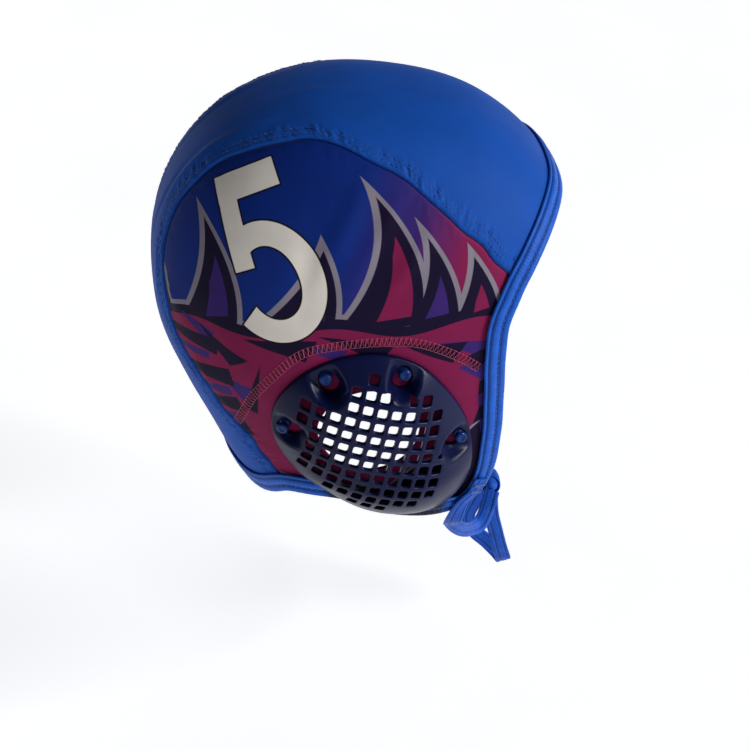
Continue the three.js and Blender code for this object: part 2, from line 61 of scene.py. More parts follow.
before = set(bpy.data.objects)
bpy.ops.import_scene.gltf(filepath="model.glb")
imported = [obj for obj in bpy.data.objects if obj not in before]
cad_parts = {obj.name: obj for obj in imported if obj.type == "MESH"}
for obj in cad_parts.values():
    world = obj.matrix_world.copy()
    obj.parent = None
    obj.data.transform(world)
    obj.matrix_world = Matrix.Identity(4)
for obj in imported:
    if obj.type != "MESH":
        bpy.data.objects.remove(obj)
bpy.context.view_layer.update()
MM = 0.001
SIDES = (("right", -1), ("left", 1))

# Form rows: angle, reach as a share of the crown reach, fullness of the section
FORM_ROWS = (
    (0, 0.770, 2.4), (20, 0.850, 2.5), (40, 0.968, 2.6), (60, 1.003, 2.7),
    (80, 0.996, 2.75), (100, 1.000, 2.75), (120, 0.980, 2.65), (140, 0.900, 2.5),
    (160, 0.775, 2.4), (180, 0.665, 2.3), (200, 0.617, 2.3), (220, 0.638, 2.4),
    (240, 0.690, 2.6), (270, 0.740, 3.0), (300, 0.775, 3.0), (330, 0.785, 2.6),
)
# Crown seam rows: angle, half width of the crown panel as a share of the half breadth
SEAM_ROWS = (
    (30, 0.800), (38.5, 0.806), (46, 0.820), (54, 0.822), (62, 0.808), (70, 0.774),
    (76, 0.732), (82, 0.682), (88, 0.622), (94, 0.550), (100, 0.482), (106, 0.455),
    (112, 0.415), (118, 0.385), (126, 0.355), (134, 0.340), (142, 0.385), (150, 0.455),
    (158, 0.520), (166, 0.620), (174, 0.665), (182, 0.690), (190, 0.735), (200, 0.775),
    (212, 0.800), (225, 0.832), (231, 0.838),
)
# Free edge rows of a side panel: angle, distance from the ear axis as a share of the crown reach
EDGE_ROWS = (
    (236, 0.396), (245, 0.362), (255, 0.346), (266, 0.372), (278, 0.422), (288, 0.470),
    (296, 0.522), (302, 0.560), (307, 0.588), (313, 0.592), (320, 0.572), (327, 0.546),
    (338, 0.504), (348, 0.485), (358, 0.474), (368, 0.478), (379, 0.496), (389, 0.540),
    (395, 0.588),
)
# Grooves of the binding, shares of its width from the inner edge
FOLD_GROOVE = 0.18
SEWN_GROOVE = 0.62
FRONT_CORNER = 40.0
NAPE_CORNER = 229.5
# Crown edge rows: share of the half width, angle of the front edge, angle of the nape edge
FRONT_NAPE_ROWS = (
    (0, 41.2, 221.5), (0.33, 41.7, 223.5), (0.63, 42.4, 227), (0.85, 41.8, 229),
    (1, FRONT_CORNER, NAPE_CORNER),
)
# Guard outline rows: angle, distance from the guard's centre as a share of the guard reach
GUARD_ROWS = (
    (0, 0.852), (25, 0.805), (45, 0.820), (65, 0.885), (90, 0.950), (115, 0.985),
    (135, 1.000), (155, 0.985), (180, 0.895), (200, 0.785), (225, 0.680), (245, 0.690),
    (265, 0.760), (285, 0.870), (300, 0.965), (312, 0.995), (326, 0.975), (343, 0.915),
)
# Lattice outline rows: angle, share of the guard reach
LATTICE_ROWS = (
    (0, 0.625), (25, 0.660), (55, 0.745), (90, 0.840), (110, 0.840), (130, 0.860),
    (155, 0.855), (175, 0.775), (195, 0.690), (215, 0.590), (260, 0.600), (290, 0.610),
    (320, 0.640), (345, 0.625),
)
# Peg rows: angle round the guard's centre, distance as a share of the guard reach
PEG_ROWS = ((165, 0.830), (120.5, 0.870), (73, 0.790), (0.4, 0.735))
# Tie rows: shares of the run from the corner of the binding to the knot, then the way the face looks
RIGHT_TIE_ROWS = (
    (0.042, -0.114, 0.278, -0.95, 0.05, -0.10), (0.217, -0.050, 0.560, -0.90, 0.08, 0.25),
    (0.360, 0.200, 0.850, -0.85, 0.10, 0.45), (0.512, 0.450, 1.055, -0.82, 0.10, 0.50),
    (0.661, 0.690, 1.190, -0.82, 0.10, 0.50), (0.785, 0.860, 1.175, -0.82, 0.10, 0.50),
)
LEFT_TIE_ROWS = (
    (0.082, -0.030, 0.226, 0.75, -0.35, -0.55), (0.254, 0.276, 0.603, 0.50, -0.45, -0.70),
    (0.483, 0.620, 0.909, 0.35, -0.50, -0.75), (0.684, 0.887, 1.039, 0.25, -0.80, -0.50),
)
# Bow rows: shares of the bow drop from the knot, then the way the face looks
BOW_ROWS = (
    (-0.120, -0.012, -0.326, -0.95, 0.05, 0.20), (-0.125, -0.062, -0.535, -0.95, 0.05, 0.20),
    (-0.118, -0.119, -0.774, -0.95, 0.05, 0.20), (-0.076, -0.164, -0.938, -0.90, 0.05, -0.10),
    (0.000, -0.176, -1.006, -0.20, -0.30, -0.90), (0.065, -0.134, -0.972, 0.70, -0.20, -0.60),
    (0.099, -0.031, -0.858, 0.95, 0.05, -0.20), (0.114, 0.102, -0.715, 0.95, 0.05, -0.15),
    (0.114, 0.170, -0.535, 0.98, 0.05, 0.00), (0.099, 0.122, -0.364, 0.98, 0.05, 0.10),
)
# Zigzag rows: places of the flatlock arc above a guard, forward of and above the ear axis, in millimetres
ZIGZAG_ROWS = (
    (-52.8, -8.3), (-51, -3), (-46.3, 9.8), (-41, 18.0), (-36, 24.0), (-31, 29.5), (-24, 34.0),
    (-13.7, 36.3),
    (-3.6, 37.2), (6.6, 37.2), (17, 36.2), (24, 34.0), (30, 31.0), (38, 26.0), (45, 20.0),
)
# Crown creases: share along, share across, half length, half width, height in millimetres, slant
CROWN_FOLD_ROWS = (
    (0.44, -0.62, 0.060, 0.10, 0.90, 0.5), (0.52, -0.40, 0.070, 0.07, -0.65, 0.8),
    (0.40, 0.60, 0.060, 0.10, 0.80, -0.5), (0.55, 0.38, 0.070, 0.08, -0.60, -0.8),
    (0.74, -0.30, 0.080, 0.12, 0.70, 0.4), (0.80, 0.34, 0.080, 0.12, 0.60, -0.4),
    (0.30, -0.20, 0.050, 0.10, 0.40, 1.2), (0.88, 0.00, 0.040, 0.25, 0.50, 0.0),
    (0.33, -0.66, 0.030, 0.09, -0.55, 0.6), (0.60, -0.72, 0.040, 0.06, 0.50, 0.9),
)
# Side drag lines: middle forward and up, half length, half width and height in millimetres, turn in degrees
SIDE_FOLD_ROWS = (
    (-8, 84, 24, 4.5, 0.95, 62), (4, 78, 22, 3.5, 0.65, 58), (18, 70, 18, 3.5, 0.70, 52),
    (-52, 30, 24, 6, 0.60, 120), (-70, 10, 26, 6, 0.70, 110), (40, 48, 16, 4.5, 0.50, 38),
    (-24, 66, 22, 5, -0.55, 78), (52, 18, 16, 4, 0.40, 10), (-84, 48, 18, 4, 0.60, 135),
)
# Thread rows: place along the thread, then height and girth as shares of its radius
THREAD_ROWS = (
    (0.0, -1.0, 0.35), (0.12, 0.35, 0.85), (0.34, 1.0, 1.0),
    (0.66, 1.0, 1.0), (0.88, 0.35, 0.85), (1.0, -1.0, 0.35),
)
# Shaded grooves of a tie: share of its width round the section, half width in millimetres
TIE_GROOVE_ROWS = ((0.73, 0.7), (0.225, 0.6), (1.5, 0.7), (2.0, 0.6))
# Light rows: name, direction that the light comes from, width of the source in degrees, strength
LIGHT_ROWS = (("key", (-0.28, -0.85, 0.46), 24, 3.2), ("fill", (-0.80, 0.10, 0.55), 40, 0.07))
# The gathers of the left seam are moved along it by this much
SEAM_SHIFT = 7 * MM
# The folds of a side panel fade out over this distance from its edge
FOLD_FADE = 8 * MM
BINDING_STATIONS = 760
# Turn of the guard's rows of holes, in degrees, and the cells tried each way from its centre
LATTICE_TURN = -15.0
LATTICE_CELLS = range(-8, 9)
# Least plastic between the rounded rims of a square hole and a keyhole
RIM_GAP = 0.45 * MM
FLOOR_HALF = 16.0
LENS = 73.92
BLACK = (0.0, 0.0, 0.0, 1.0)
SHEEN = {"sheen_weight": 0.01, "sheen_roughness": 0.3}


def srgb(red, green, blue):
    """A colour given in 0 to 255 steps, as linear light with full alpha."""
    parts = [c / 255 for c in (red, green, blue)]
    return [c / 12.92 if c <= 0.04045 else ((c + 0.055) / 1.055) ** 2.4 for c in parts] + [1.0]


def shade_of(tone, share):
    """The same colour, darker or lighter."""
    return [c * share for c in tone[:3]] + [1.0]


def length(name, words, value):
    """A length that a user would change."""
    return bpy.props.FloatProperty(
        name=name, description=words, default=value, unit="LENGTH", precision=5)


def tilt(name, words, degrees):
    """An angle that a user would change."""
    return bpy.props.FloatProperty(
        name=name, description=words, default=math.radians(degrees), subtype="ANGLE")


def colour(name, words, *steps):
    """A colour that a user would change, given in 0 to 255 steps."""
    return bpy.props.FloatVectorProperty(
        name=name, description=words, default=srgb(*steps), subtype="COLOR", size=4, min=0, max=1)


class CapClothSettings(bpy.types.PropertyGroup):
    half_breadth: length("Half breadth", "Ear axis to the outer cloth at its widest", 74 * MM)
    reach: length("Crown reach", "Ear axis to the outer cloth on the crown", 116 * MM)
    wall: length("Cloth wall", "Thickness of the cloth panels", 1.4 * MM)
    crown_step: length("Crown step", "Rise of the crown panel above the side panels", 0.5 * MM)
    hole_half_length: length("Ear hole half length", "Half the length of the ear hole", 21 * MM)
    hole_half_height: length("Ear hole half height", "Half the height of the ear hole", 20 * MM)
    hole_drop: length("Ear hole drop", "Centre of the ear hole below the ear axis", 5 * MM)
    first_row: length("First stitch row", "Seam to the nearer row of cover stitches", 3.0 * MM)
    second_row: length("Second stitch row", "Seam to the farther row of cover stitches", 6.2 * MM)
    stitch_pitch: length("Stitch pitch", "One cover stitch to the next", 2.0 * MM)
    thread: length("Thread radius", "Radius of the sewing thread", 0.17 * MM)
    pucker: length("Pucker", "Height of the gathers beside a seam", 0.50 * MM)
    knit_pitch: length("Knit pitch", "One knitted rib to the next", 0.62 * MM)
    crown_blue: colour("Crown blue", "Cloth of the crown panel", 20, 76, 166)
    side_blue: colour("Side blue", "Print ground at the back", 10, 40, 118)
    violet: colour("Violet", "Print ground in the middle, and shards", 54, 33, 104)
    crimson: colour("Crimson", "Print ground at the front, and shards", 122, 24, 70)
    night: colour("Night", "Darkest colour of the print", 20, 11, 42)
    outline_grey: colour("Outline grey", "Line round the printed shards", 128, 121, 134)
    number_white: colour("Number white", "Printed number", 221, 214, 204)
    lining: colour("Inside", "Unprinted back of the cloth", 20, 30, 74)


class CapBindingSettings(bpy.types.PropertyGroup):
    width: length("Binding width", "Fold to the end of the legs", 10 * MM)
    leg: length("Leg", "Thickness of one leg of the folded tape", 1.0 * MM)
    fold_room: length("Fold room", "Cloth edge to the inside of the fold", 0.7 * MM)
    leg_room: length("Leg room", "Cloth to each leg", 0.45 * MM)
    groove: length("Groove", "Depth of the sewn grooves", 0.72 * MM)
    blue: colour("Binding blue", "Tape of the binding", 26, 90, 192)
    # The dark colour stands for the printed cloth turned over the tape and for painted shade under the
    # guards.
    dark: colour("Binding dark", "Tape where the printed cloth is turned over it", 16, 16, 34)


class CapGuardSettings(bpy.types.PropertyGroup):
    reach: length("Guard reach", "Farthest outline point from the guard's centre", 46 * MM)
    forward: length("Guard forward", "Guard centre ahead of the ear axis", 3.2 * MM)
    drop: length("Guard drop", "Guard centre below the ear axis", 10.9 * MM)
    shell: length("Guard shell", "Thickness of the plastic", 2.0 * MM)
    rise: length("Guard rise", "Height of the dome above its rim", 14 * MM)
    pitch: length("Lattice pitch", "Spacing of the lattice holes", 5.85 * MM)
    hole: length("Lattice hole", "Side of a lattice hole", 4.1 * MM)
    edge: length("Edge round", "Rounding of the hole edges", 0.45 * MM)
    key_half_width: length("Keyhole half width", "Half the width of a keyhole", 3.8 * MM)
    key_half_length: length("Keyhole half length", "Half the length of a keyhole", 5.0 * MM)
    key_inset: length("Keyhole inset", "Keyhole centre inward of its peg", 1.7 * MM)
    pocket: length("Pocket reach", "Peg to the foot of the pocket wall", 4.4 * MM)
    navy: colour("Guard navy", "Plastic of the ear guards", 6, 13, 52)


class CapPegSettings(bpy.types.PropertyGroup):
    head: length("Peg head", "Head across", 5.2 * MM)
    stem: length("Peg stem", "Stem across", 3.0 * MM)
    foot: length("Peg foot", "Foot across", 5.2 * MM)
    height: length("Peg height", "Foot to the top of the head", 4.2 * MM)
    blue: colour("Peg blue", "Plastic of the pegs", 7, 38, 96)


class CapTieSettings(bpy.types.PropertyGroup):
    drop: length("Tie drop", "Ear axis down to the knot", 92 * MM)
    forward: length("Knot forward", "Knot ahead of the ear axis", 65.5 * MM)
    bow_drop: length("Bow drop", "Knot down to the bottom of the bow", 50 * MM)
    width: length("Tie width", "Width of the tape", 7.6 * MM)
    thick: length("Tie thickness", "Thickness of the tape", 1.6 * MM)
    knot_length: length("Knot length", "Knot from side to side", 15 * MM)
    knot_girth: length("Knot girth", "Knot from top to bottom", 10 * MM)
    blue: colour("Tie blue", "Tape of the ties", 22, 80, 182)


class CapStudioSettings(bpy.types.PropertyGroup):
    target: bpy.props.FloatVectorProperty(
        name="Target", description="Point that the camera looks at", subtype="TRANSLATION", size=3,
        default=(0.0, -0.0102, -0.1423))
    azimuth: tilt("Azimuth", "Camera behind the wearer's right", 6)
    elevation: tilt("Elevation", "Camera above the horizon", 34)
    distance: length("Distance", "Camera to its target", 0.7)
    floor_drop: length("Floor drop", "Lowest point of the cap to the floor", 0.03)


def hermite(t, start, leave, end, arrive):
    """Cubic from start to end with the slopes that it leaves and arrives with, t from 0 to 1."""
    return ((2 * t**3 - 3 * t**2 + 1) * start + (t**3 - 2 * t**2 + t) * leave
            + (3 * t**2 - 2 * t**3) * end + (t**3 - t**2) * arrive)


def table_curve(rows, column, period=0.0):
    """Smooth curve through table rows, each row led by its place."""
    at = np.array([row[0] for row in rows], float)
    value = np.array([row[column] for row in rows], float)
    first = at[0]
    if period:
        at = np.concatenate((at[-2:] - period, at, at[:2] + period))
        value = np.concatenate((value[-2:], value, value[:2]))
    slope = np.empty_like(at)
    slope[1:-1] = (value[2:] - value[:-2]) / (at[2:] - at[:-2])
    slope[0] = (value[1] - value[0]) / (at[1] - at[0])
    slope[-1] = (value[-1] - value[-2]) / (at[-1] - at[-2])

    def read(x):
        x = np.asarray(x, float)
        x = first + (x - first) % period if period else np.clip(x, at[0], at[-1])
        i = np.clip(np.searchsorted(at, x, side="right") - 1, 0, len(at) - 2)
        run = at[i + 1] - at[i]
        return hermite((x - at[i]) / run, value[i], slope[i] * run, value[i + 1], slope[i + 1] * run)

    return read


def smooth_step(t):
    """Eases from 0 to 1 as t does."""
    s = np.clip(t, 0, 1)
    return s * s * (3 - 2 * s)


def hump(x, centre, half):
    """A soft bump of height 1 round a centre."""
    return np.exp(-(((x - centre) / half) ** 2))


def unit(v):
    """Vectors of length 1."""
    return v / np.maximum(np.linalg.norm(v, axis=-1, keepdims=True), 1e-12)


def running(points, axis=0):
    """Length walked along a line or a grid of points, from 0."""
    steps = np.linalg.norm(np.diff(points, axis=axis), axis=-1)
    return np.insert(np.cumsum(steps, axis), 0, 0.0, axis)


def full_turn(count):
    """Evenly spaced angles of one whole turn, in radians."""
    return np.linspace(0, 2 * np.pi, count, endpoint=False)


def turn_of(back, up):
    """Angle in degrees, from the front over the top, of places behind and above a centre."""
    return np.degrees(np.arctan2(up, -back)) % 360


def loop_tangent(line):
    """Directions along a closed line."""
    return unit(np.roll(line, -1, 0) - np.roll(line, 1, 0))


class Form:
    """The shape of the cloth on a head: a reach round the ear axis and a rounded section across the head."""

    def __init__(self, cloth):
        self.half = cloth.half_breadth
        self.reach = cloth.reach
        self.share, self.fullness = (table_curve(FORM_ROWS, k, 360) for k in (1, 2))
        self.crown_inside = cloth.wall - cloth.crown_step
        self.ear_z = -(self.reach_at(90) - self.crown_inside)
        self.seam_share = table_curve(SEAM_ROWS, 1)
        self.front, self.nape = (table_curve(FRONT_NAPE_ROWS, k) for k in (1, 2))
        start, end = (float(self.seam_radius(a)) / self.reach for a in (NAPE_CORNER, FRONT_CORNER))
        self.free_share = table_curve(
            ((NAPE_CORNER, start),) + EDGE_ROWS + ((360 + FRONT_CORNER, end),), 1)

    def reach_at(self, angle):
        return self.reach * self.share(angle)

    def lateral(self, angle, r):
        """Distance from the middle of the head at a place beside the ear axis."""
        n = self.fullness(angle)
        return self.half * np.maximum(1 - (r / self.reach_at(angle)) ** n, 0) ** (1 / n)

    def radial(self, angle, x):
        """Distance from the ear axis at a half width."""
        n = self.fullness(angle)
        return self.reach_at(angle) * np.maximum(1 - (np.abs(x) / self.half) ** n, 0) ** (1 / n)

    def seam_at(self, angle):
        """Half width of the crown panel, with the slight waver of a hand-guided seam."""
        waver = 0.28 * MM * (np.sin(np.radians(angle) * 17) + 0.7 * np.sin(np.radians(angle) * 29 + 1))
        calm = smooth_step((angle - 46) / 10) * smooth_step((222 - angle) / 10)
        return self.half * self.seam_share(angle) + waver * calm

    def seam_radius(self, angle):
        return self.radial(angle, self.seam_at(angle))

    def free_radius(self, angle):
        return self.reach * self.free_share(angle)

    def place(self, angle, r, x):
        a = np.radians(angle)
        return np.stack(np.broadcast_arrays(x, -np.cos(a) * r, self.ear_z + np.sin(a) * r), -1)

    def crown_point(self, v, u):
        """A place on the crown, v from the face edge to the nape, u from seam to seam."""
        angle = self.front(np.abs(u)) * (1 - v) + self.nape(np.abs(u)) * v
        x = u * self.seam_at(angle)
        return self.place(angle, self.radial(angle, x), x)

    def level(self, p):
        back, up = p[..., 1], p[..., 2] - self.ear_z
        angle, r = turn_of(back, up), np.hypot(back, up)
        n = self.fullness(angle)
        return (np.abs(p[..., 0]) / self.half) ** n + (r / self.reach_at(angle)) ** n

    def slope(self, p):
        h = 0.05 * MM
        return np.stack([(self.level(p + h * e) - self.level(p - h * e)) / (2 * h) for e in np.eye(3)], -1)

    def normal(self, p):
        return unit(self.slope(p))

    def lift(self, p, d):
        return p + self.normal(p) * np.broadcast_to(d, p.shape[:-1])[..., None]

    def settle(self, p):
        """Nearest place on the cloth, found in a few steps along the normal."""
        q = np.array(p, float)
        for _ in range(4):
            g = self.slope(q)
            size = np.linalg.norm(g, axis=-1, keepdims=True)
            q = q + g / size * ((1 - self.level(q))[..., None] / size)
        return q

    def side_point(self, side, forward, up):
        """A place on a side panel from its distances forward of and above the ear axis."""
        angle, r = turn_of(-forward, up), np.hypot(forward, up)
        return self.place(angle, r, side * self.lateral(angle, r))

    def unrolled(self, angle, r, steps=40):
        """Distance over the cloth from the ear axis out to r."""
        rr = r[..., None] * np.linspace(0, 1, steps + 1)
        x = self.lateral(angle[..., None], rr)
        return np.hypot(np.diff(rr), np.diff(x)).sum(-1)


def worn_form():
    """The form in the sizes that the user has set."""
    return Form(bpy.context.scene.cap_cloth)


# Mesh building

def grid_faces(rows, cols, wrap_rows=False, wrap_cols=False, start=0, turn=False):
    """Four-sided faces of a grid of points, rows by columns."""
    i = np.arange(rows if wrap_rows else rows - 1)[:, None]
    j = np.arange(cols if wrap_cols else cols - 1)[None, :]
    a = i * cols + j
    b = ((i + 1) % rows) * cols + j
    c = ((i + 1) % rows) * cols + (j + 1) % cols
    d = i * cols + (j + 1) % cols
    quads = np.stack(np.broadcast_arrays(a, b, c, d), -1).reshape(-1, 4) + start
    return quads[:, ::-1] if turn else quads


def band_faces(one, two, wrap):
    """Four-sided faces between two lists of point numbers."""
    a, b = np.asarray(one), np.asarray(two)
    k = np.arange(len(a) if wrap else len(a) - 1)
    n = (k + 1) % len(a)
    return np.stack((a[k], a[n], b[n], b[k]), -1)


def shell(outer, inner, wrap):
    """Closed wall between two grids: its points, faces and a mark on the faces of the inner grid."""
    rows, cols = outer.shape[:2]
    size = rows * cols
    points = np.concatenate((outer.reshape(-1, 3), inner.reshape(-1, 3)))
    number = np.arange(size).reshape(rows, cols)
    parts = [grid_faces(rows, cols, wrap), grid_faces(rows, cols, wrap, start=size, turn=True),
             band_faces(number[:, 0], number[:, 0] + size, wrap)[:, ::-1],
             band_faces(number[:, -1], number[:, -1] + size, wrap)]
    if not wrap:
        parts.append(band_faces(number[0], number[0] + size, False))
        parts.append(band_faces(number[-1], number[-1] + size, False)[:, ::-1])
    marks = np.concatenate([np.full(len(p), k == 1) for k, p in enumerate(parts)])
    return points, np.concatenate(parts), marks


def twice(place):
    """The places of a wall's outer grid, given to its inner grid too."""
    return np.concatenate((place.reshape(-1, 3),) * 2)


def outward_faces(points, faces):
    """The same faces, turned so that a closed body encloses a positive volume."""
    p = points[faces]
    volume = np.einsum("ij,ij->i", p[:, 0], np.cross(p[:, 1], p[:, 2])).sum()
    if faces.shape[1] == 4:
        volume += np.einsum("ij,ij->i", p[:, 0], np.cross(p[:, 2], p[:, 3])).sum()
    return faces[:, ::-1] if volume < 0 else faces


def add_piece(name, points, faces, materials, slot, replaces=(), marks=None, place=None, tint=None):
    """A mesh object that rides on the cap, with its finish and the CAD nodes that it stands for."""
    mesh = bpy.data.meshes.new(name)
    mesh.from_pydata(np.asarray(points, float).tolist(), [], [list(map(int, f)) for f in faces])
    mesh.shade_smooth()
    if marks is not None:
        mesh.polygons.foreach_set("material_index", np.asarray(marks, np.int32))
    if place is not None:
        layer = mesh.attributes.new("place", "FLOAT_VECTOR", "POINT")
        layer.data.foreach_set("vector", np.asarray(place, np.float32).ravel())
    if tint is not None:
        layer = mesh.attributes.new("tint", "FLOAT", "POINT")
        layer.data.foreach_set("value", np.asarray(tint, np.float32).ravel())
    for material in materials:
        mesh.materials.append(material)
    mesh.update()
    piece = bpy.data.objects.new(name, mesh)
    bpy.context.scene.collection.objects.link(piece)
    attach(piece, "root")
    if replaces:
        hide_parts(*replaces)
    return piece


def tube_faces(points, rows, cols, closed=False):
    """Faces of a tube of rings, turned outward, with both ends capped when it is open."""
    faces = grid_faces(rows, cols, closed, True)
    turned = outward_faces(points - points.mean(0), faces) is not faces
    polygons = faces.tolist()
    if not closed:
        polygons.append(list(range(cols)))
        polygons.append([(rows - 1) * cols + k for k in range(cols)][::-1])
    return [p[::-1] for p in polygons] if turned else polygons


def sweep(line, across, up, section, closed=False):
    """A body along a line, its section given in the across and up directions, capped when it is open."""
    section = np.asarray(section, float)
    if section.ndim == 2:
        section = np.broadcast_to(section, (len(line),) + section.shape)
    rings = line[:, None] + section[..., :1] * across[:, None] + section[..., 1:] * up[:, None]
    rows, cols = rings.shape[:2]
    points = rings.reshape(-1, 3)
    return points, tube_faces(points, rows, cols, closed)


def stitches(starts, ends, normals, radius, lift, sides=6):
    """Short rounded threads from starts to ends, arched over the cloth and dipping in at both ends."""
    starts, ends, normals = (np.asarray(a, float) for a in (starts, ends, normals))
    along = unit(ends - starts)
    across = unit(np.cross(along, normals))
    t, rise, girth = np.array(THREAD_ROWS).T[..., None]
    turn = full_turn(sides)[:, None]
    middle = starts[:, None] + (ends - starts)[:, None] * t + normals[:, None] * (rise * radius + lift)
    ring = np.cos(turn) * across[:, None, None] + np.sin(turn) * normals[:, None, None]
    points = middle[:, :, None] + ring * (girth * radius)[..., None]
    count, rows = points.shape[:2]
    start = (np.arange(count) * rows * sides)[:, None]
    faces = (grid_faces(rows, sides, False, True)[None] + start[..., None]).reshape(-1, 4)
    first = np.arange(sides) + start
    last = (rows * sides - 1 - np.arange(sides)) + start
    return points.reshape(-1, 3), faces.tolist() + first.tolist() + last.tolist()


def resampled(line, count, closed=False):
    """Points at even spacing along a line, and how far along it each lies."""
    ring = np.concatenate((line, line[:1])) if closed else line
    run = running(ring)
    at = np.linspace(0, run[-1], count, endpoint=not closed)
    return np.stack([np.interp(at, run, ring[:, k]) for k in range(3)], -1), at


def through(points, count):
    """Centripetal curve through points, with the point before each reading and the share past it."""
    p = np.asarray(points, float)
    p = np.concatenate(([2 * p[0] - p[1]], p, [2 * p[-1] - p[-2]]))
    last = len(p) - 4
    u = np.linspace(0, last + 1, count)
    i = np.minimum(u.astype(int), last)
    t = (u - i)[:, None]
    p0, p1, p2, p3 = (p[i + k] for k in range(4))
    d0, d1, d2 = (np.sqrt(np.linalg.norm(b - a, axis=1, keepdims=True))
                  for a, b in ((p0, p1), (p1, p2), (p2, p3)))
    m1 = ((p1 - p0) / d0 - (p2 - p0) / (d0 + d1) + (p2 - p1) / d1) * d1
    m2 = ((p2 - p1) / d1 - (p3 - p1) / (d1 + d2) + (p3 - p2) / d2) * d1
    return hermite(t, p1, m1, p2, m2), i, t[:, 0]


# Finishes

class Wire:
    """One value or vector in a finish. Maths on it adds nodes."""

    def __init__(self, finish, socket):
        self.finish = finish
        self.socket = socket

    def math(self, operation, *values):
        return self.finish.node("ShaderNodeMath", {"operation": operation}, dict(enumerate(values)))

    def __add__(self, other):
        return self.math("ADD", self, other)

    def __radd__(self, other):
        return self.math("ADD", other, self)

    def __sub__(self, other):
        return self.math("SUBTRACT", self, other)

    def __rsub__(self, other):
        return self.math("SUBTRACT", other, self)

    def __mul__(self, other):
        return self.math("MULTIPLY", self, other)

    def __rmul__(self, other):
        return self.math("MULTIPLY", other, self)

    def __truediv__(self, other):
        return self.math("DIVIDE", self, other)

    def __rtruediv__(self, other):
        return self.math("DIVIDE", other, self)

    def __neg__(self):
        return self.math("MULTIPLY", self, -1.0)

    def __abs__(self):
        return self.math("ABSOLUTE", self)

    def min(self, other):
        return self.math("MINIMUM", self, other)

    def max(self, other):
        return self.math("MAXIMUM", self, other)

    def sine(self):
        return self.math("SINE", self)

    def root(self):
        return self.math("SQRT", self)

    def step(self, low, high):
        """Goes from 0 at low to 1 at high, and stays inside that."""
        return self.finish.node(
            "ShaderNodeMapRange", {"clamp": True}, {"Value": self, 1: low, 2: high, 3: 0.0, 4: 1.0})

    def inside(self, soft):
        """1 where a signed distance is negative, with a narrow soft edge."""
        return self.step(soft, -soft)


class Finish:
    """A material or a world being wired from its nodes."""

    def __init__(self, name, store=None):
        self.owner = (bpy.data.materials if store is None else store).new(name)
        self.owner.use_nodes = True
        self.tree = self.owner.node_tree
        self.tree.nodes.clear()

    def node(self, kind, settings=None, inputs=None, output=0):
        """Adds a node from its type, its settings, then the values or links of its sockets."""
        node = self.tree.nodes.new(kind)
        for key, value in (settings or {}).items():
            if key == "stops":
                ramp = node.color_ramp
                while len(ramp.elements) < len(value):
                    ramp.elements.new(1.0)
                for element, (at, tone) in zip(ramp.elements, value):
                    element.position = at
                    element.color = tone
            else:
                setattr(node, key, value)
        for key, value in (inputs or {}).items():
            if isinstance(value, Wire):
                self.tree.links.new(value.socket, node.inputs[key])
            else:
                node.inputs[key].default_value = value
        return Wire(self, node.outputs[output]) if node.outputs else None

    def attribute(self, name, output="Vector"):
        return self.node("ShaderNodeAttribute", {"attribute_name": name}, output=output)

    def object_place(self):
        return self.node("ShaderNodeTexCoord", output="Object")

    def parts(self, vector):
        """The three numbers of a vector."""
        first = self.node("ShaderNodeSeparateXYZ", {}, {0: vector})
        return [Wire(self, socket) for socket in first.socket.node.outputs]

    def joined(self, x, y, z=0.0):
        return self.node("ShaderNodeCombineXYZ", {}, {0: x, 1: y, 2: z})

    def reading(self, vector, numbers):
        """Dot product of a vector with three numbers."""
        return self.node(
            "ShaderNodeVectorMath", {"operation": "DOT_PRODUCT"}, {0: vector, 1: numbers}, "Value")

    def noise(self, vector, scale, detail=2.0, roughness=0.5):
        """Smooth noise from 0 to 1, scale given in lumps to a metre."""
        return self.node("ShaderNodeTexNoise", {}, {
            "Vector": vector, "Scale": scale, "Detail": detail, "Roughness": roughness}, "Fac")

    def mixed(self, share, one, two):
        """Colour one where share is 0 and colour two where it is 1."""
        return self.node("ShaderNodeMix", {"data_type": "RGBA"}, {0: share, 6: one, 7: two}, 2)

    def ramp(self, share, stops):
        return self.node("ShaderNodeValToRGB", {"stops": stops}, {0: share}, "Color")

    def bump(self, height, strength, distance):
        return self.node(
            "ShaderNodeBump", {}, {"Height": height, "Strength": strength, "Distance": distance})

    def surface(self, **sockets):
        """Finishes the material with one Principled surface."""
        named = {key.replace("_", " ").title().replace("Ior", "IOR"): value
                 for key, value in sockets.items()}
        shader = self.node("ShaderNodeBsdfPrincipled", {}, named, "BSDF")
        self.node("ShaderNodeOutputMaterial", {}, {"Surface": shader})
        return self.owner


def knit_height(finish, place, pitch):
    """Height of a fine jersey knit, ribs along the second direction of place."""
    across, along, _ = finish.parts(place)
    rib = abs((across * (math.pi / pitch)).sine())
    loop = (along * (2 * math.pi / (pitch * 0.8)) + rib * 2.0).sine()
    return rib * 0.7 + loop * 0.3


def cloth_finish(name, ground, pitch, gloss=0.62):
    """Satin knit. Ground is a colour, or a function that wires one for the finish."""
    finish = Finish(name)
    place = finish.attribute("place")
    spot = finish.object_place()
    mottle = finish.noise(spot, 60.0, 3.0)
    grain = finish.noise(spot, 900.0, 2.0)
    base = ground(finish) if callable(ground) else ground
    shade = finish.mixed(0.10, base, BLACK)
    toned = finish.mixed(mottle.step(0.35, 0.65), shade, base)
    height = knit_height(finish, place, pitch) + grain * 0.5
    return finish.surface(
        base_color=toned, roughness=grain * 0.10 + (gloss - 0.05),
        normal=finish.bump(height, 0.22, 0.12 * MM), specular_ior_level=0.08, **SHEEN)


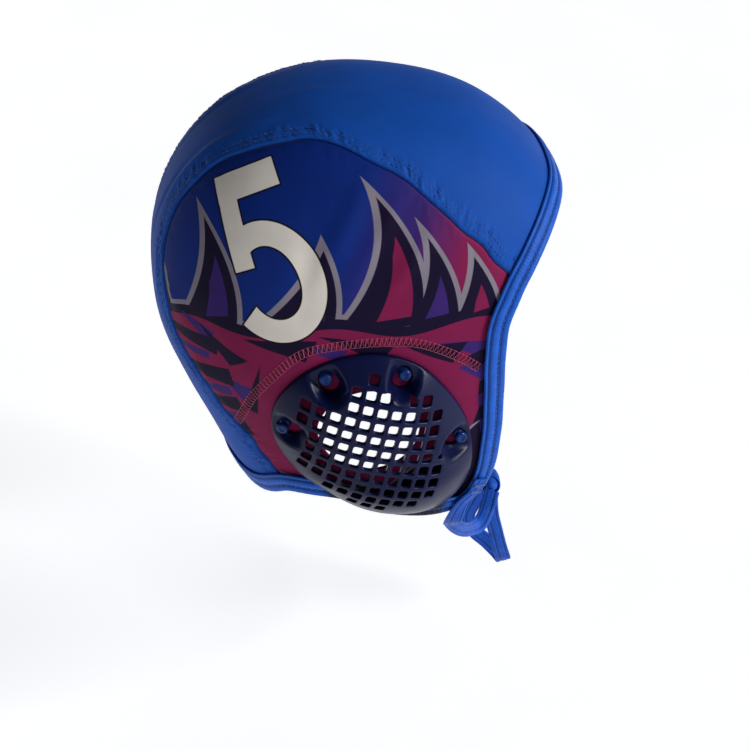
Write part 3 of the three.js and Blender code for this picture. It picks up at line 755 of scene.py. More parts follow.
def thread_finish(name, ground):
    """Twisted polyester thread."""
    finish = Finish(name)
    spot = finish.object_place()
    twist = finish.noise(spot, 1800.0, 1.0)
    base = finish.mixed(twist.step(0.4, 0.6), ground, shade_of(ground, 0.72))
    return finish.surface(base_color=base, roughness=twist * 0.2 + 0.45,
                          normal=finish.bump(twist, 0.3, 0.1 * MM), sheen_weight=0.3)


def tape_finish(name, ground, pitch, dark=None, grooves=()):
    """Ribbed stretch tape with painted shade in its grooves, turned to the dark colour by the tint attribute,
    which stands for turned printed cloth and painted shade under the guards.
    """
    finish = Finish(name)
    place = finish.attribute("place")
    across, along, _ = finish.parts(place)
    spot = finish.object_place()
    rib = abs((across * (math.pi / pitch)).sine())
    twill = ((across + along * 0.6) * (2 * math.pi / (pitch * 1.3))).sine()
    lumps = finish.noise(spot, 260.0, 3.0)
    grain = finish.noise(spot, 1400.0, 2.0)
    base = ground
    # The tint attribute turns the tape dark for the turned printed cloth and for painted shade under the
    # guards.
    if dark is not None:
        base = finish.mixed(finish.attribute("tint", "Fac"), ground, dark)
    shade = finish.mixed(0.22, base, BLACK)
    toned = finish.mixed(lumps.step(0.35, 0.7), base, shade)
    # Painted shade darkens the tape along each groove.
    for at, half in grooves:
        groove_shade = abs(across - at).step(half, half * 0.2) * 0.6
        toned = finish.mixed(groove_shade, toned, shade_of(ground, 0.25))
    gather = (along * (2 * math.pi / (1.35 * MM)) + lumps * 9.0).sine()
    height = rib * 0.5 + twill * 0.3 + grain * 0.5 + gather * (0.9 if grooves else 0.25)
    return finish.surface(
        base_color=toned, roughness=grain * 0.15 + 0.42,
        normal=finish.bump(height, 0.3, 0.14 * MM), specular_ior_level=0.16, **SHEEN)


def moulded_finish(name, ground, rough, coat):
    """Glossy moulded plastic with faint flow marks and handling haze."""
    finish = Finish(name)
    spot = finish.object_place()
    haze = finish.noise(spot, 45.0, 4.0)
    grain = finish.noise(spot, 1500.0, 2.0)
    scuff = finish.noise(spot, 320.0, 5.0, 0.7)
    base = finish.mixed(haze.step(0.3, 0.8), ground, shade_of(ground, 1.25))
    return finish.surface(
        base_color=base, roughness=rough + haze * 0.10 + scuff.step(0.55, 0.8) * 0.08,
        normal=finish.bump(grain + scuff * 0.6, 0.08, 0.1 * MM), coat_weight=coat, coat_roughness=0.12,
        specular_ior_level=0.13)


# Print of the side panels, in millimetres forward of and above the ear axis over the unrolled cloth

PRINT_EDGE = 0.12
OUTLINE_WIDTH = 2.1
SHARD_INSET = 6.0
CREST_HEIGHT = 48.0
NUMBER_OUTLINE = 0.75
NUMBER_CENTRE = (-36.0, 63.4)
NUMBER_LEAN = 20
NUMBER_STROKE = 4.9
# Flames of the crest: the tip, then the two ends of the foot, drawn before they are bent back
CRIMSON_FLAMES = (
    ((-85, 73), (-120, 34), (-84, 40)), ((44, 104), (-20, 38), (22, 42)), ((54, 75), (28, 38), (56, 42)),
)
VIOLET_FLAMES = (
    ((-38, 96), (-86, 36), (-50, 42)), ((2, 82), (-54, 38), (-12, 42)), ((44, 87), (10, 38), (38, 42)),
    ((66, 62), (48, 34), (76, 36)),
)
FLAME_SLITS = (
    ((27, 80), (-6, 44), (2, 44)), ((49, 64), (36, 44), (42, 44)), ((-89, 60), (-104, 42), (-98, 42)),
    ((-52, 76), (-72, 44), (-66, 44)), ((-10, 66), (-36, 44), (-30, 44)),
)
FLAME_BEND = 0.0110
# Long strokes over the crimson field
NIGHT_STROKES = (
    ((-112, 33), (-60, 37), (-62, 29)), ((-106, 13), (-57, 24), (-55, 15)), ((-97, -6), (-55, 9), (-52, 1)),
    ((-88, -24), (-53, -6), (-49, -13)), ((-50, 40), (-20, 37), (-25, 28)), ((-20, 39), (10, 36), (4, 29)),
    ((12, 38), (40, 33), (34, 25)), ((74, 33), (40, 26), (43, 18)), ((74, 17), (46, 12), (46, 4)),
    ((70, -2), (47, -2), (44, -10)), ((-43, 28), (-52, 4), (-46, 2)), ((-70, 42), (-48, 30), (-56, 26)),
)
VIOLET_STROKES = (
    ((-108, 24), (-66, 29), (-66, 25)), ((-100, 3), (-58, 14), (-57, 9)), ((-92, -16), (-55, -1), (-53, -6)),
    ((-34, 36), (-8, 33), (-12, 28)), ((28, 36), (52, 30), (46, 24)), ((78, 26), (36, 22), (54, 6)),
    ((74, 8), (46, 4), (48, -16)), ((-62, 20), (-46, 16), (-50, 6)), ((-80, 44), (-62, 40), (-66, 34)),
)


def shard(finish, place, corners):
    """Signed distance to a three-cornered shard."""
    middle = np.mean(corners, axis=0)
    distance = None
    for a, b in zip(corners, corners[1:] + corners[:1]):
        nx, ny = b[1] - a[1], a[0] - b[0]
        size = math.hypot(nx, ny)
        nx, ny = nx / size, ny / size
        if nx * (middle[0] - a[0]) + ny * (middle[1] - a[1]) > 0:
            nx, ny = -nx, -ny
        side = finish.reading(place, (nx, ny, -(nx * a[0] + ny * a[1])))
        distance = side if distance is None else distance.max(side)
    return distance


def shards(finish, place, rows):
    """Signed distance to the nearest of several shards."""
    distance = None
    for corners in rows:
        one = shard(finish, place, corners)
        distance = one if distance is None else distance.min(one)
    return distance


def number_five(finish, place, mirror):
    """Signed distance to the numeral 5, leaning back on the panel behind the ear."""
    c, s = math.cos(math.radians(NUMBER_LEAN)), math.sin(math.radians(NUMBER_LEAN))
    forward, up = NUMBER_CENTRE
    x = finish.reading(place, (mirror * c, mirror * s, -mirror * (c * forward + s * up)))
    y = finish.reading(place, (-s, c, s * forward - c * up))
    bar = (abs(x - 1.8) - 13.8).max(abs(y - 41.4) - 6.2)
    stem = (abs(x + 8.3 + (y - 27) * -0.065) - 4.1).max(abs(y - 27.5) - 20.0)
    bx, by = x + 1.0, y + 0.5
    reach = (bx * bx + by * by).root()
    oval = ((bx * bx) * (1 / 15.7**2) + (by * by) * (1 / 20.2**2)).root()
    ring = abs(reach - reach / oval) - NUMBER_STROKE
    gap = (x + 6.2).max(bx * 0.588 - by * 0.809)
    bowl = ring.max(-gap)
    return bar.min(stem).min(bowl)


def print_ground(cloth, mirror):
    """The printed colours of one side panel."""
    def wired(finish):
        place = finish.node("ShaderNodeVectorMath", {"operation": "MULTIPLY"}, {
            0: finish.attribute("place"), 1: (1000.0, 1000.0, 1.0)})
        u, v, _ = finish.parts(place)
        shift = finish.reading(place, (1.0, -0.40, 0.0)).step(-74.0, 12.0)
        above = (v - 40.0).max(0.0)
        bent = finish.joined(u + above * above * FLAME_BEND, v, 1.0)
        waved = finish.joined(u, v + (u * 0.09).sine() * 1.8, 1.0)
        low = v - CREST_HEIGHT + (u * 0.11).sine() * 2.4
        deep = v + 35.0 - (u - 6.0).max(0.0) * 0.62 + (u * 0.24).sine() * 1.3
        crimson, violet, slits = (
            shards(finish, bent, rows) for rows in (CRIMSON_FLAMES, VIOLET_FLAMES, FLAME_SLITS))
        violet_strokes, night_strokes = (
            shards(finish, waved, rows) for rows in (VIOLET_STROKES, NIGHT_STROKES))
        crest = crimson.min(violet).min(low)
        five = number_five(finish, place, mirror)
        tone = finish.ramp(shift, (
            (0.0, cloth.side_blue), (0.42, cloth.side_blue), (0.72, cloth.violet), (1.0, cloth.crimson)))
        for distance, ink in (
                (crest, cloth.outline_grey), (crest + OUTLINE_WIDTH, cloth.night),
                (violet + SHARD_INSET, cloth.violet), (crimson + SHARD_INSET, cloth.crimson),
                (slits.max(crest + 5.0), cloth.night), (low + 6.4, cloth.crimson),
                (deep - 1.6, cloth.outline_grey), (deep, cloth.night),
                (violet_strokes.max(low + 5.0), cloth.violet), (night_strokes.max(low + 3.0), cloth.night),
                (five - NUMBER_OUTLINE, srgb(14, 12, 18)), (five, cloth.number_white)):
            tone = finish.mixed(distance.inside(PRINT_EDGE), tone, ink)
        return tone
    return wired


# Pieces

def seam_relief(distance, along, pucker, rows):
    """Height of the cloth beside a seam: gathers and the dips of the stitch rows."""
    wander = 0.55 * np.sin(2 * np.pi * along / (31 * MM)) + 0.3 * np.sin(2 * np.pi * along / (13 * MM) + 2.0)
    lean = distance / (9 * MM)
    ripple = (0.50 * np.sin(2 * np.pi * (along / (5.3 * MM) + wander + 0.6 * lean))
              + 0.35 * np.sin(2 * np.pi * (along / (3.1 * MM) - 1.3 * wander - 0.9 * lean) + 1.1)
              + 0.30 * np.sin(2 * np.pi * (along / (8.9 * MM) + 0.8 * wander) + 2.3))
    patch = 0.75 + 0.25 * np.sin(2 * np.pi * along / (47 * MM) + 0.6)
    height = pucker * ripple * patch * hump(distance, 4.6 * MM, 3.6 * MM)
    for row in rows:
        height = height - 0.16 * MM * hump(distance, row, 0.55 * MM)
    return height


def crown_sheet(form, cloth, rows=500, cols=92):
    """Outer and inner grids of the crown, with each point's place over the cloth."""
    v = np.linspace(0, 1, rows)[:, None]
    s = np.linspace(-1, 1, cols)[None, :]
    u = 0.45 * s + 0.55 * np.sin(np.pi / 2 * s)
    base = form.crown_point(v, u)
    across, along = running(base, 1), running(base)
    width = across[:, -1:]
    across = across - width / 2
    distance = width / 2 - np.abs(across)
    edge_run = along[:, :1] + SEAM_SHIFT * (s > 0)
    relief = seam_relief(distance, edge_run, cloth.pucker, (cloth.first_row, cloth.second_row))
    relief = relief - 0.70 * MM * hump(distance, 0.0, 0.42 * MM) + crown_folds(v, u)
    outer = form.lift(base, cloth.crown_step + relief)
    inner = form.lift(base, -form.crown_inside + 0.35 * np.minimum(relief, 0))
    return outer, inner, np.stack((across, along, np.zeros_like(across)), -1)


def crown_folds(v, u):
    """Soft creases where the cloth is drawn back over the crown."""
    folds = np.zeros(np.broadcast(v, u).shape)
    for at, over, long, wide, height, slant in CROWN_FOLD_ROWS:
        dv, du = v - at, u - over - slant * (v - at)
        folds = folds + height * MM * np.exp(-((dv / long) ** 2) - (du / wide) ** 2)
    return folds * smooth_step((1 - np.abs(u)) / 0.12) * smooth_step(np.minimum(v, 1 - v) / 0.05)


def side_angles(seam_steps=230, free_steps=170):
    """Angles of the stations along the seam and then the free edge, and a mark on those of the seam."""
    seam = np.linspace(FRONT_CORNER, NAPE_CORNER, seam_steps, endpoint=False)
    free = np.linspace(NAPE_CORNER, 360 + FRONT_CORNER, free_steps, endpoint=False)
    return np.concatenate((seam, free)), np.arange(seam_steps + free_steps) < seam_steps


def hole_radius(cloth, angle):
    """Edge of the ear hole, an oval a little below the ear axis."""
    c, s = np.cos(np.radians(angle)), np.sin(np.radians(angle))
    a = (c / cloth.hole_half_length) ** 2 + (s / cloth.hole_half_height) ** 2
    b = s * cloth.hole_drop / cloth.hole_half_height**2
    k = (cloth.hole_drop / cloth.hole_half_height) ** 2 - 1
    return (-b + np.sqrt(b * b - a * k)) / a


def side_sheet(form, cloth, side, cols=62):
    """Outer and inner grids of a side panel, with each point's place over the unrolled cloth."""
    angle, seamed = side_angles()
    outer_r = np.where(seamed, form.seam_radius(angle), form.free_radius(angle))
    share = np.linspace(0, 1, cols)
    share = 0.55 * share + 0.45 * share**2
    r = outer_r[:, None] * (1 - share) + hole_radius(cloth, angle)[:, None] * share
    a = np.broadcast_to(angle[:, None], r.shape)
    base = form.place(a, r, side * form.lateral(a, r))
    inward, run = running(base, 1), running(base[:, 0])[:, None]
    hole_gap = running(base[:, ::-1], 1)[:, ::-1]
    ends = smooth_step(np.minimum(angle - FRONT_CORNER, NAPE_CORNER - angle) / 3.0) * seamed
    relief = 0.55 * ends[:, None] * seam_relief(inward, run + 3 * MM, cloth.pucker, ())
    relief = relief - 0.75 * MM * hump(inward, 0.0, 0.6 * MM) * seamed[:, None]
    reach = form.unrolled(a, r)
    rad = np.radians(a)
    forward, up = reach * np.cos(rad), reach * np.sin(rad)
    relief = relief + side_folds(forward / MM, up / MM) * smooth_step(inward / FOLD_FADE)
    relief = relief + 0.35 * MM * hump(hole_gap, 1.2 * MM, 1.0 * MM)
    outer = form.lift(base, relief)
    inner = form.lift(base, -cloth.wall + 0.4 * np.minimum(relief, 0))
    return outer, inner, np.stack((forward, up, np.ones_like(up)), -1)


def side_folds(forward, up):
    """Soft drag lines from the guard towards the seam, in millimetres over the cloth."""
    folds = np.zeros_like(forward)
    for x, y, long, wide, height, turn in SIDE_FOLD_ROWS:
        c, s = math.cos(math.radians(turn)), math.sin(math.radians(turn))
        a, b = (forward - x) * c + (up - y) * s, -(forward - x) * s + (up - y) * c
        folds = folds + height * MM * np.exp(-((a / long) ** 2) - (b / wide) ** 2)
    return folds


def side_lift(form, points):
    """Height of the side cloth's folds at places on the form, with a little more beside the seam."""
    back, up = points[:, 1], points[:, 2] - form.ear_z
    angle = turn_of(back, up)
    reach = form.unrolled(angle, np.hypot(back, up))
    seamed = (angle > FRONT_CORNER) & (angle < NAPE_CORNER)
    turned = np.where(angle < FRONT_CORNER, angle + 360, angle)
    edge = np.where(seamed, form.seam_radius(angle), form.free_radius(turned))
    clear = smooth_step((form.unrolled(angle, edge) - reach) / FOLD_FADE)
    rad = np.radians(angle)
    folds = side_folds(reach * np.cos(rad) / MM, reach * np.sin(rad) / MM)
    return folds * clear + 0.15 * MM * (1 - clear) * seamed


def zigzag_line(form, side, count=400):
    """The flatlock arc above a guard, as points on the cloth at even spacing."""
    rows = np.array([(0, x, y) for x, y in ZIGZAG_ROWS], float) * MM
    line, _, _ = through(rows, 600)
    points = form.side_point(side, line[:, 1], line[:, 2])
    return resampled(points, count)[0]


def edge_line(form, count):
    """The cloth edge as one smoothed loop: the face edge, the left side, the nape and the right side."""
    u = np.linspace(-1, 1, 120, endpoint=False)
    a = np.linspace(360 + FRONT_CORNER, NAPE_CORNER, 260, endpoint=False)
    b = np.linspace(NAPE_CORNER, 360 + FRONT_CORNER, 260, endpoint=False)
    ra, rb = form.free_radius(a), form.free_radius(b)
    line = np.concatenate((
        form.crown_point(0.0, u), form.place(a, ra, form.lateral(a, ra)),
        form.crown_point(1.0, -u), form.place(b, rb, -form.lateral(b, rb))))
    line, _ = resampled(line, 1600, True)
    spread = 10
    kernel = np.exp(-((np.arange(-3 * spread, 3 * spread + 1) / spread) ** 2))
    kernel /= kernel.sum()
    padded = np.concatenate((line[-3 * spread:], line, line[:3 * spread]))
    line = np.stack([np.convolve(padded[:, k], kernel, "valid") for k in range(3)], -1)
    return resampled(line, count, True)


def edge_frames(form, count):
    """Points, inward directions and running length of the cloth edge."""
    line, run = edge_line(form, count)
    return line, unit(np.cross(form.normal(line), loop_tangent(line))), run


def binding_heights(cloth, binding):
    """Heights of the binding's outer face and underside, and how far in its fold lies."""
    top = cloth.crown_step + binding.leg_room + binding.leg
    under = -cloth.wall - binding.leg_room - binding.leg
    return top, under, -binding.leg - binding.fold_room


def binding_surface(form, line, inward, b, h):
    """A place beside the cloth edge, b in over the cloth and h above it."""
    settled = form.settle(line + inward * np.broadcast_to(b, line.shape[:-1])[..., None])
    return form.lift(settled, h)


def binding_top(binding, s, run):
    """Relief of the binding's outer face, s from its inner edge."""
    width = binding.width
    fold = hump(s, FOLD_GROOVE * width, 0.055 * width)
    sewn = hump(s, SEWN_GROOVE * width, 0.060 * width)
    ridges = 0.30 * MM * (hump(s, 0.40 * width, 0.14 * width) + hump(s, 0.83 * width, 0.12 * width))
    phase = 2 * np.pi * run / (3.4 * MM)
    gather = 0.09 * MM * (np.sin(phase) + 0.7 * np.sin(2 * phase + 1.0))
    ends = hump(s, 0.0, 0.03 * width) * 0.6
    return (-binding.groove * (fold + sewn + ends) + ridges
            + gather * hump(s, SEWN_GROOVE * width, 0.25 * width))


def binding_points(form, cloth, binding):
    """Rings of the folded tape, ridged and grooved on its outer face."""
    line, inward, run = edge_frames(form, BINDING_STATIONS)
    top, under, fold = binding_heights(cloth, binding)
    width, bend = binding.width, 0.9 * MM
    inner_edge = width + fold
    s = np.concatenate((np.linspace(0, 0.30, 11), np.linspace(0.34, 0.92, 19))) * width
    face = [(inner_edge - k, top, k) for k in s]
    turn = np.linspace(0.2, np.pi - 0.2, 7)
    middle, half = (top + under) / 2, (top - under) / 2
    round_end = [(fold + bend * (1 - math.sin(t)), middle + half * math.cos(t), None) for t in turn]
    back = [(fold + k * width, under, None) for k in (0.1, 0.35, 0.65, 1.0)]
    channel = [(inner_edge, under + binding.leg, None), (-binding.fold_room, under + binding.leg, None),
               (-binding.fold_room, top - binding.leg, None), (inner_edge, top - binding.leg, None)]
    corners = face + round_end + back + channel
    rings = []
    for b, h, k in corners:
        extra = 0.0 if k is None else binding_top(binding, k, run)
        rings.append(binding_surface(form, line, inward, b, h + extra))
    walk = running(np.array([(b, h) for b, h, _ in corners]))
    place = np.stack(np.broadcast_arrays(walk[None], run[:, None], 0.0), -1)
    return np.stack(rings, 1), place, line


def turned_cloth_and_shade(form, points):
    """Share of the tape coloured dark, low under the guards: it stands for the turned printed cloth and for
    painted shade under the guards.
    """
    back, up = points[..., 1], points[..., 2] - form.ear_z
    angle, rise = turn_of(back, up), np.hypot(back, up) / form.reach
    begin = smooth_step((angle - 243 - 40 * (rise - 0.36)) / 7)
    end = smooth_step((303 - angle) / 5)
    return begin * end


# Ear guards

def rounded_square(half, count=20, power=5.0):
    """Ring of a square with soft corners."""
    t = full_turn(count) + np.pi / count
    flat = np.stack((np.cos(t), np.sin(t)), -1)
    return half * np.sign(flat) * np.abs(flat) ** (2 / power)


def polar(angle, r):
    """Flat place, x forward being negative, at an angle from the front."""
    a = np.radians(angle)
    return np.stack((-np.cos(a) * r, np.sin(a) * r), -1)


class GuardForm:
    """Flat outline, openings and dome of an ear guard, in metres round its centre."""

    def __init__(self, form, cloth, binding, guard):
        self.form, self.guard = form, guard
        self.edge, self.field = (table_curve(rows, 1, 360) for rows in (GUARD_ROWS, LATTICE_ROWS))
        self.bind_top = binding_heights(cloth, binding)[0]
        self.pegs = [polar(angle, share * guard.reach) for angle, share in PEG_ROWS]
        self.ways = [unit(p) for p in self.pegs]
        self.keys = [p - unit(p) * guard.key_inset for p in self.pegs]
        self.row, self.column = polar(LATTICE_TURN, 1.0), polar(LATTICE_TURN - 90, 1.0)
        self.centre_y = -guard.forward
        self.centre_z = form.ear_z - guard.drop

    def outline(self, inset, count=220):
        angle = np.linspace(0, 360, count, endpoint=False)
        ring = polar(angle, self.guard.reach * self.edge(angle))
        tangent = loop_tangent(ring)
        inward = np.stack((-tangent[:, 1], tangent[:, 0]), -1)
        inward *= np.sign(np.sum(-ring * inward, axis=1, keepdims=True))
        return ring + inward * inset

    def keyhole(self, k, grow, count=32):
        way = self.ways[k]
        aside = np.array((-way[1], way[0]))
        t = full_turn(count)[:, None]
        taper = 1 - 0.18 * np.cos(t)
        return (self.keys[k] + way * (self.guard.key_half_length + grow) * np.cos(t)
                + aside * (self.guard.key_half_width + grow) * taper * np.sin(t))

    def laid(self, centre, flat):
        """Flat places turned the way of the lattice round a centre."""
        return centre + flat[:, :1] * self.row + flat[:, 1:] * self.column

    def lattice(self):
        """Centres of the square holes."""
        g = self.guard
        kept = []
        corners = np.array([(-1, -1), (1, -1), (1, 1), (-1, 1)]) * g.hole / 2
        for i in LATTICE_CELLS:
            for j in LATTICE_CELLS:
                c = np.array((0, 0.3)) * g.pitch + (self.row * (i + 0.2) + self.column * (j + 0.4)) * g.pitch
                p = self.laid(c, corners)
                field = g.reach * self.field(turn_of(p[:, 0], p[:, 1]))
                inside = np.all(np.hypot(*p.T) < field + g.pitch / 4)
                free = all(np.hypot(*(key - c)) > g.key_half_length + 2.6 * MM for key in self.keys)
                if inside and free:
                    kept.append(c)
        return kept

    def crowded(self, centre, half):
        """Whether a square hole of this half width comes too close to a keyhole."""
        ring = self.laid(centre, rounded_square(half))
        for k in range(len(self.keys)):
            key = self.keyhole(k, self.guard.edge, 64)
            gap = np.linalg.norm(ring[:, None] - key[None], axis=2).min()
            if inside_ring(ring, key).any() or gap < RIM_GAP:
                return True
        return False

    def pocket(self, p):
        """Share of the dome left standing beside the pegs, and the low lip round each pocket."""
        share = np.ones(len(p))
        lip = np.zeros(len(p))
        for peg, way in zip(self.pegs, self.ways):
            r = np.linalg.norm(peg)
            along = np.clip(p @ way, r - self.guard.key_inset, r + self.guard.key_inset)
            past = np.linalg.norm(p - along[:, None] * way, axis=1) - self.guard.pocket
            share = np.minimum(share, smooth_step(past / (3.0 * MM)))
            lip = np.maximum(lip, hump(past, 3.1 * MM, 0.8 * MM) * smooth_step((r - p @ way) / (6 * MM)))
        return share, lip

    def height(self, p):
        """Height of the inner face above the cloth."""
        edge = self.guard.reach * self.edge(turn_of(p[:, 0], p[:, 1]))
        share = np.minimum(np.hypot(*p.T) / edge, 1)
        stand = 0.3 * MM + self.bind_top * smooth_step((-p[:, 1] - 4 * MM) / (13 * MM))
        pocket, lip = self.pocket(p)
        return stand + self.guard.rise * (1 - share**2.6) * pocket + 0.45 * MM * lip

    def point(self, p, side, d):
        """A place on the guard, d out from its inner face."""
        y, z = self.centre_y + p[:, 0], self.centre_z + p[:, 1]
        up = z - self.form.ear_z
        x = self.form.lateral(turn_of(y, up), np.hypot(y, up)) + self.height(p) + d
        return np.stack((side * x, y, z), -1)


def inside_ring(points, ring):
    """Which flat points lie inside a closed ring."""
    x, y = points[:, 0][:, None], points[:, 1][:, None]
    x0, y0 = ring[:, 0], ring[:, 1]
    x1, y1 = np.roll(x0, -1), np.roll(y0, -1)
    slant = (x1 - x0) / np.where(y1 == y0, 1, y1 - y0)
    crosses = ((y0 > y) != (y1 > y)) & (x < slant * (y - y0) + x0)
    return crosses.sum(1) % 2 == 1


def guard_flat(shape):
    """Flat triangles of the guard between its edges, with the rings that its rounded edges follow."""
    edge = shape.guard.edge
    bend = [(edge * (1 - math.sin(t)), -edge * (1 - math.cos(t))) for t in np.linspace(0, np.pi / 2, 4)]
    loops = [[(shape.outline(a), d) for a, d in bend]]
    for k in range(len(shape.keys)):
        loops.append([(shape.keyhole(k, a), d) for a, d in bend])
    for c in shape.lattice():
        half = shape.guard.hole / 2
        while shape.crowded(c, half + edge):
            half -= 0.1 * MM
        loops.append([(shape.laid(c, rounded_square(half + a)), d) for a, d in bend])
    firsts = [loop[0][0] for loop in loops]
    spacing = 1.35 * MM
    span = np.arange(-50 * MM, 50 * MM, spacing)
    gx, gy = np.meshgrid(span, span * math.sqrt(3) / 2)
    gx = gx + (np.arange(len(span)) % 2)[:, None] * spacing / 2
    seeds = np.stack((gx.ravel(), gy.ravel()), -1)
    seeds = seeds[inside_ring(seeds, firsts[0])]
    rims = np.concatenate(firsts)
    for ring in firsts[1:]:
        seeds = seeds[~inside_ring(seeds, ring)]
    nearest = np.min(np.linalg.norm(seeds[:, None] - rims[None], axis=2), axis=1)
    seeds = seeds[nearest > 0.55 * spacing]
    flat = np.concatenate((rims, seeds))
    edges = []
    start = 0
    for ring in firsts:
        n = len(ring)
        edges += [(start + k, start + (k + 1) % n) for k in range(n)]
        start += n
    points, _, faces, origin, _, _ = delaunay_2d_cdt(
        [Vector((float(x) / MM, float(y) / MM)) for x, y in flat], edges, [], 0, 1e-6)
    points = np.array([(v[0], v[1]) for v in points]) * MM
    faces = np.array([list(f) for f in faces])
    middle = points[faces].mean(1)
    keep = inside_ring(middle, firsts[0])
    for ring in firsts[1:]:
        keep &= ~inside_ring(middle, ring)
    number = {}
    for k, old in enumerate(origin):
        for o in old:
            number[o] = k
    return points, faces[keep], loops, number


def guard_piece(shape, flat, side):
    """Points and faces of one guard."""
    points, faces, loops, number = flat
    top_d = shape.guard.shell
    n = len(points)
    stack = [shape.point(points, side, top_d), shape.point(points, side, 0.0)]
    polygons = faces.tolist() + (faces[:, ::-1] + n).tolist()
    edges = {pair for a, b, c in faces.tolist() for pair in ((a, b), (b, c), (c, a))}
    total = 2 * n
    start = 0
    for loop in loops:
        count = len(loop[0][0])
        top = np.array([number[start + k] for k in range(count)])
        start += count
        rings = [shape.point(ring, side, top_d + d) for ring, d in loop[1:]]
        rings.append(shape.point(loop[-1][0], side, 0.0))
        numbers = [top] + [total + k * count + np.arange(count) for k in range(len(rings))] + [top + n]
        stack += rings
        total += len(rings) * count
        turned = (top[0], top[1]) in edges
        for before, now in zip(numbers, numbers[1:]):
            strip = band_faces(before, now, True)
            polygons += (strip[:, ::-1] if turned else strip).tolist()
    if side < 0:
        polygons = [p[::-1] for p in polygons]
    return np.concatenate(stack), polygons


# Pegs, knot, ties and bow

def lathe(profile, count, foot, way):
    """A turned body from its profile of distances out and along, standing on a foot."""
    profile = np.asarray(profile, float)
    turn = full_turn(count)[:, None]
    aside = unit(np.cross(way, (0.0, 0.0, 1.0)))
    ring = np.cos(turn) * aside + np.sin(turn) * np.cross(way, aside)
    points = foot + profile[:, None, :1] * ring[None] + profile[:, None, 1:] * way
    flat = points.reshape(-1, 3)
    return flat, tube_faces(flat, len(profile), count)


def peg_profile(peg):
    """Distances out and along of a peg: foot, stem, rounded head with a ring and a dimple."""
    foot, stem, head, high = peg.foot / 2, peg.stem / 2, peg.head / 2, peg.height
    rows = [(0.02 * MM, 0.0), (foot - 0.2 * MM, 0.0), (foot, 0.2 * MM), (foot, 0.7 * MM),
            (foot - 0.2 * MM, 0.9 * MM), (stem + 0.3 * MM, 1.1 * MM), (stem, 1.5 * MM),
            (stem, high * 0.60), (head - 0.25 * MM, high * 0.64), (head, high * 0.69), (head, high * 0.76)]
    for a in np.linspace(0.15, 1.0, 7) * np.pi / 2:
        rows.append((head * (0.56 + 0.44 * math.cos(a)), high * (0.76 + 0.24 * math.sin(a))))
    rows += [(head * 0.50, high), (head * 0.44, high * 0.965), (head * 0.36, high * 0.93),
             (head * 0.18, high * 0.905), (0.02 * MM, high * 0.90)]
    return rows


def knot_place(form, tie):
    """Middle of the knot."""
    return np.array((0.0, -tie.forward, form.ear_z - tie.drop))


def tie_stations(form, cloth, binding, tie, rows, side):
    """Points of a tie's middle line and the way that its face looks at each."""
    over = binding_heights(cloth, binding)[0] + 0.6 * MM + tie.thick / 2
    at, face = [], []
    for angle, share in ((321, 0.54), (314.5, 0.52), (308, 0.44)):
        r = form.free_radius(angle) - share * binding.width
        p = form.place(angle, r, side * form.lateral(angle, r))
        at.append(form.lift(p, over))
        face.append(form.normal(p))
    knot, corner = knot_place(form, tie), at[-1]
    for row in rows:
        at.append(corner + (knot - corner) * np.array(row[:3]))
        face.append(unit(np.array(row[3:])))
    at.append(knot + (side * (tie.knot_length / 2 + tie.thick / 2), 0.0, 0.0))
    face.append(face[-1])
    return np.array(at), np.array(face)


def bow_stations(form, tie):
    """Points of the bow's middle line, from the knot round to the knot, and the way that its face looks."""
    knot = knot_place(form, tie)
    at, face = [], []
    for x in (-0.099, 0.087):
        near = (abs(x) * tie.bow_drop - tie.thick / 2) / (tie.knot_length / 2)
        under = tie.knot_girth / 2 * math.sqrt(1 - near**2) + 0.45 * MM
        at.append(knot + (x * tie.bow_drop, 0.005 * tie.bow_drop, -under))
        face.append((math.copysign(1, x), 0.05, 0.2))
    at[1:1] = [knot + np.array(row[:3]) * tie.bow_drop for row in BOW_ROWS]
    face[1:1] = [row[3:] for row in BOW_ROWS]
    return np.array(at), unit(np.array(face))


def tape_section(width, thick):
    """Section of a soft tape with a fold groove and a sewn groove on each face, and rounded edges."""
    w, h = width / 2, thick / 2
    top = []
    for x in np.sin(np.linspace(-np.pi / 2, np.pi / 2, 35)):
        edge = math.sqrt(max(1 - abs(x) ** 5, 0))
        groove = 0.42 * hump(x, 0.40, 0.10) + 0.34 * hump(x, -0.62, 0.08)
        top.append((x * w, h * (edge - groove)))
    under = [(x, -y) for x, y in top[::-1]]
    return np.array(top + under[1:-1])


def tape_body(stations, tie, count, seed):
    """A strap through its stations, a little uneven, with its middle line's points, directions and run."""
    at, face = stations
    line, i, t = through(at, count)
    ways = face[i] * (1 - t[:, None]) + face[i + 1] * t[:, None]
    tangent = unit(np.gradient(line, axis=0))
    across = unit(np.cross(tangent, ways))
    up = unit(np.cross(across, tangent))
    run = running(line)
    wave = np.sin(run / (9.7 * MM) + seed) + 0.6 * np.sin(run / (4.1 * MM) + 2 * seed)
    section = tape_section(tie.width, tie.thick)
    grow = 0.98 + 0.02 * wave
    sections = section[None] * np.stack((grow, np.ones_like(grow)), -1)[:, None]
    edge = (section[:, 0] / (tie.width / 2)) ** 2
    sections[..., 1] += edge[None] * 0.12 * MM * np.sin(run / (2.6 * MM) + seed)[:, None]
    points, polygons = sweep(line, across, up, sections)
    place = np.stack(np.broadcast_arrays(running(section)[None], run[:, None], 0.0), -1)
    return points, polygons, place.reshape(-1, 3), (line, across, up, run)


def join(*bodies):
    """One list of points and one of faces from several bodies."""
    points, polygons, start = [], [], 0
    for p, f in bodies:
        points.append(np.asarray(p, float))
        polygons += [[int(k) + start for k in face] for face in f]
        start += len(p)
    return np.concatenate(points), polygons


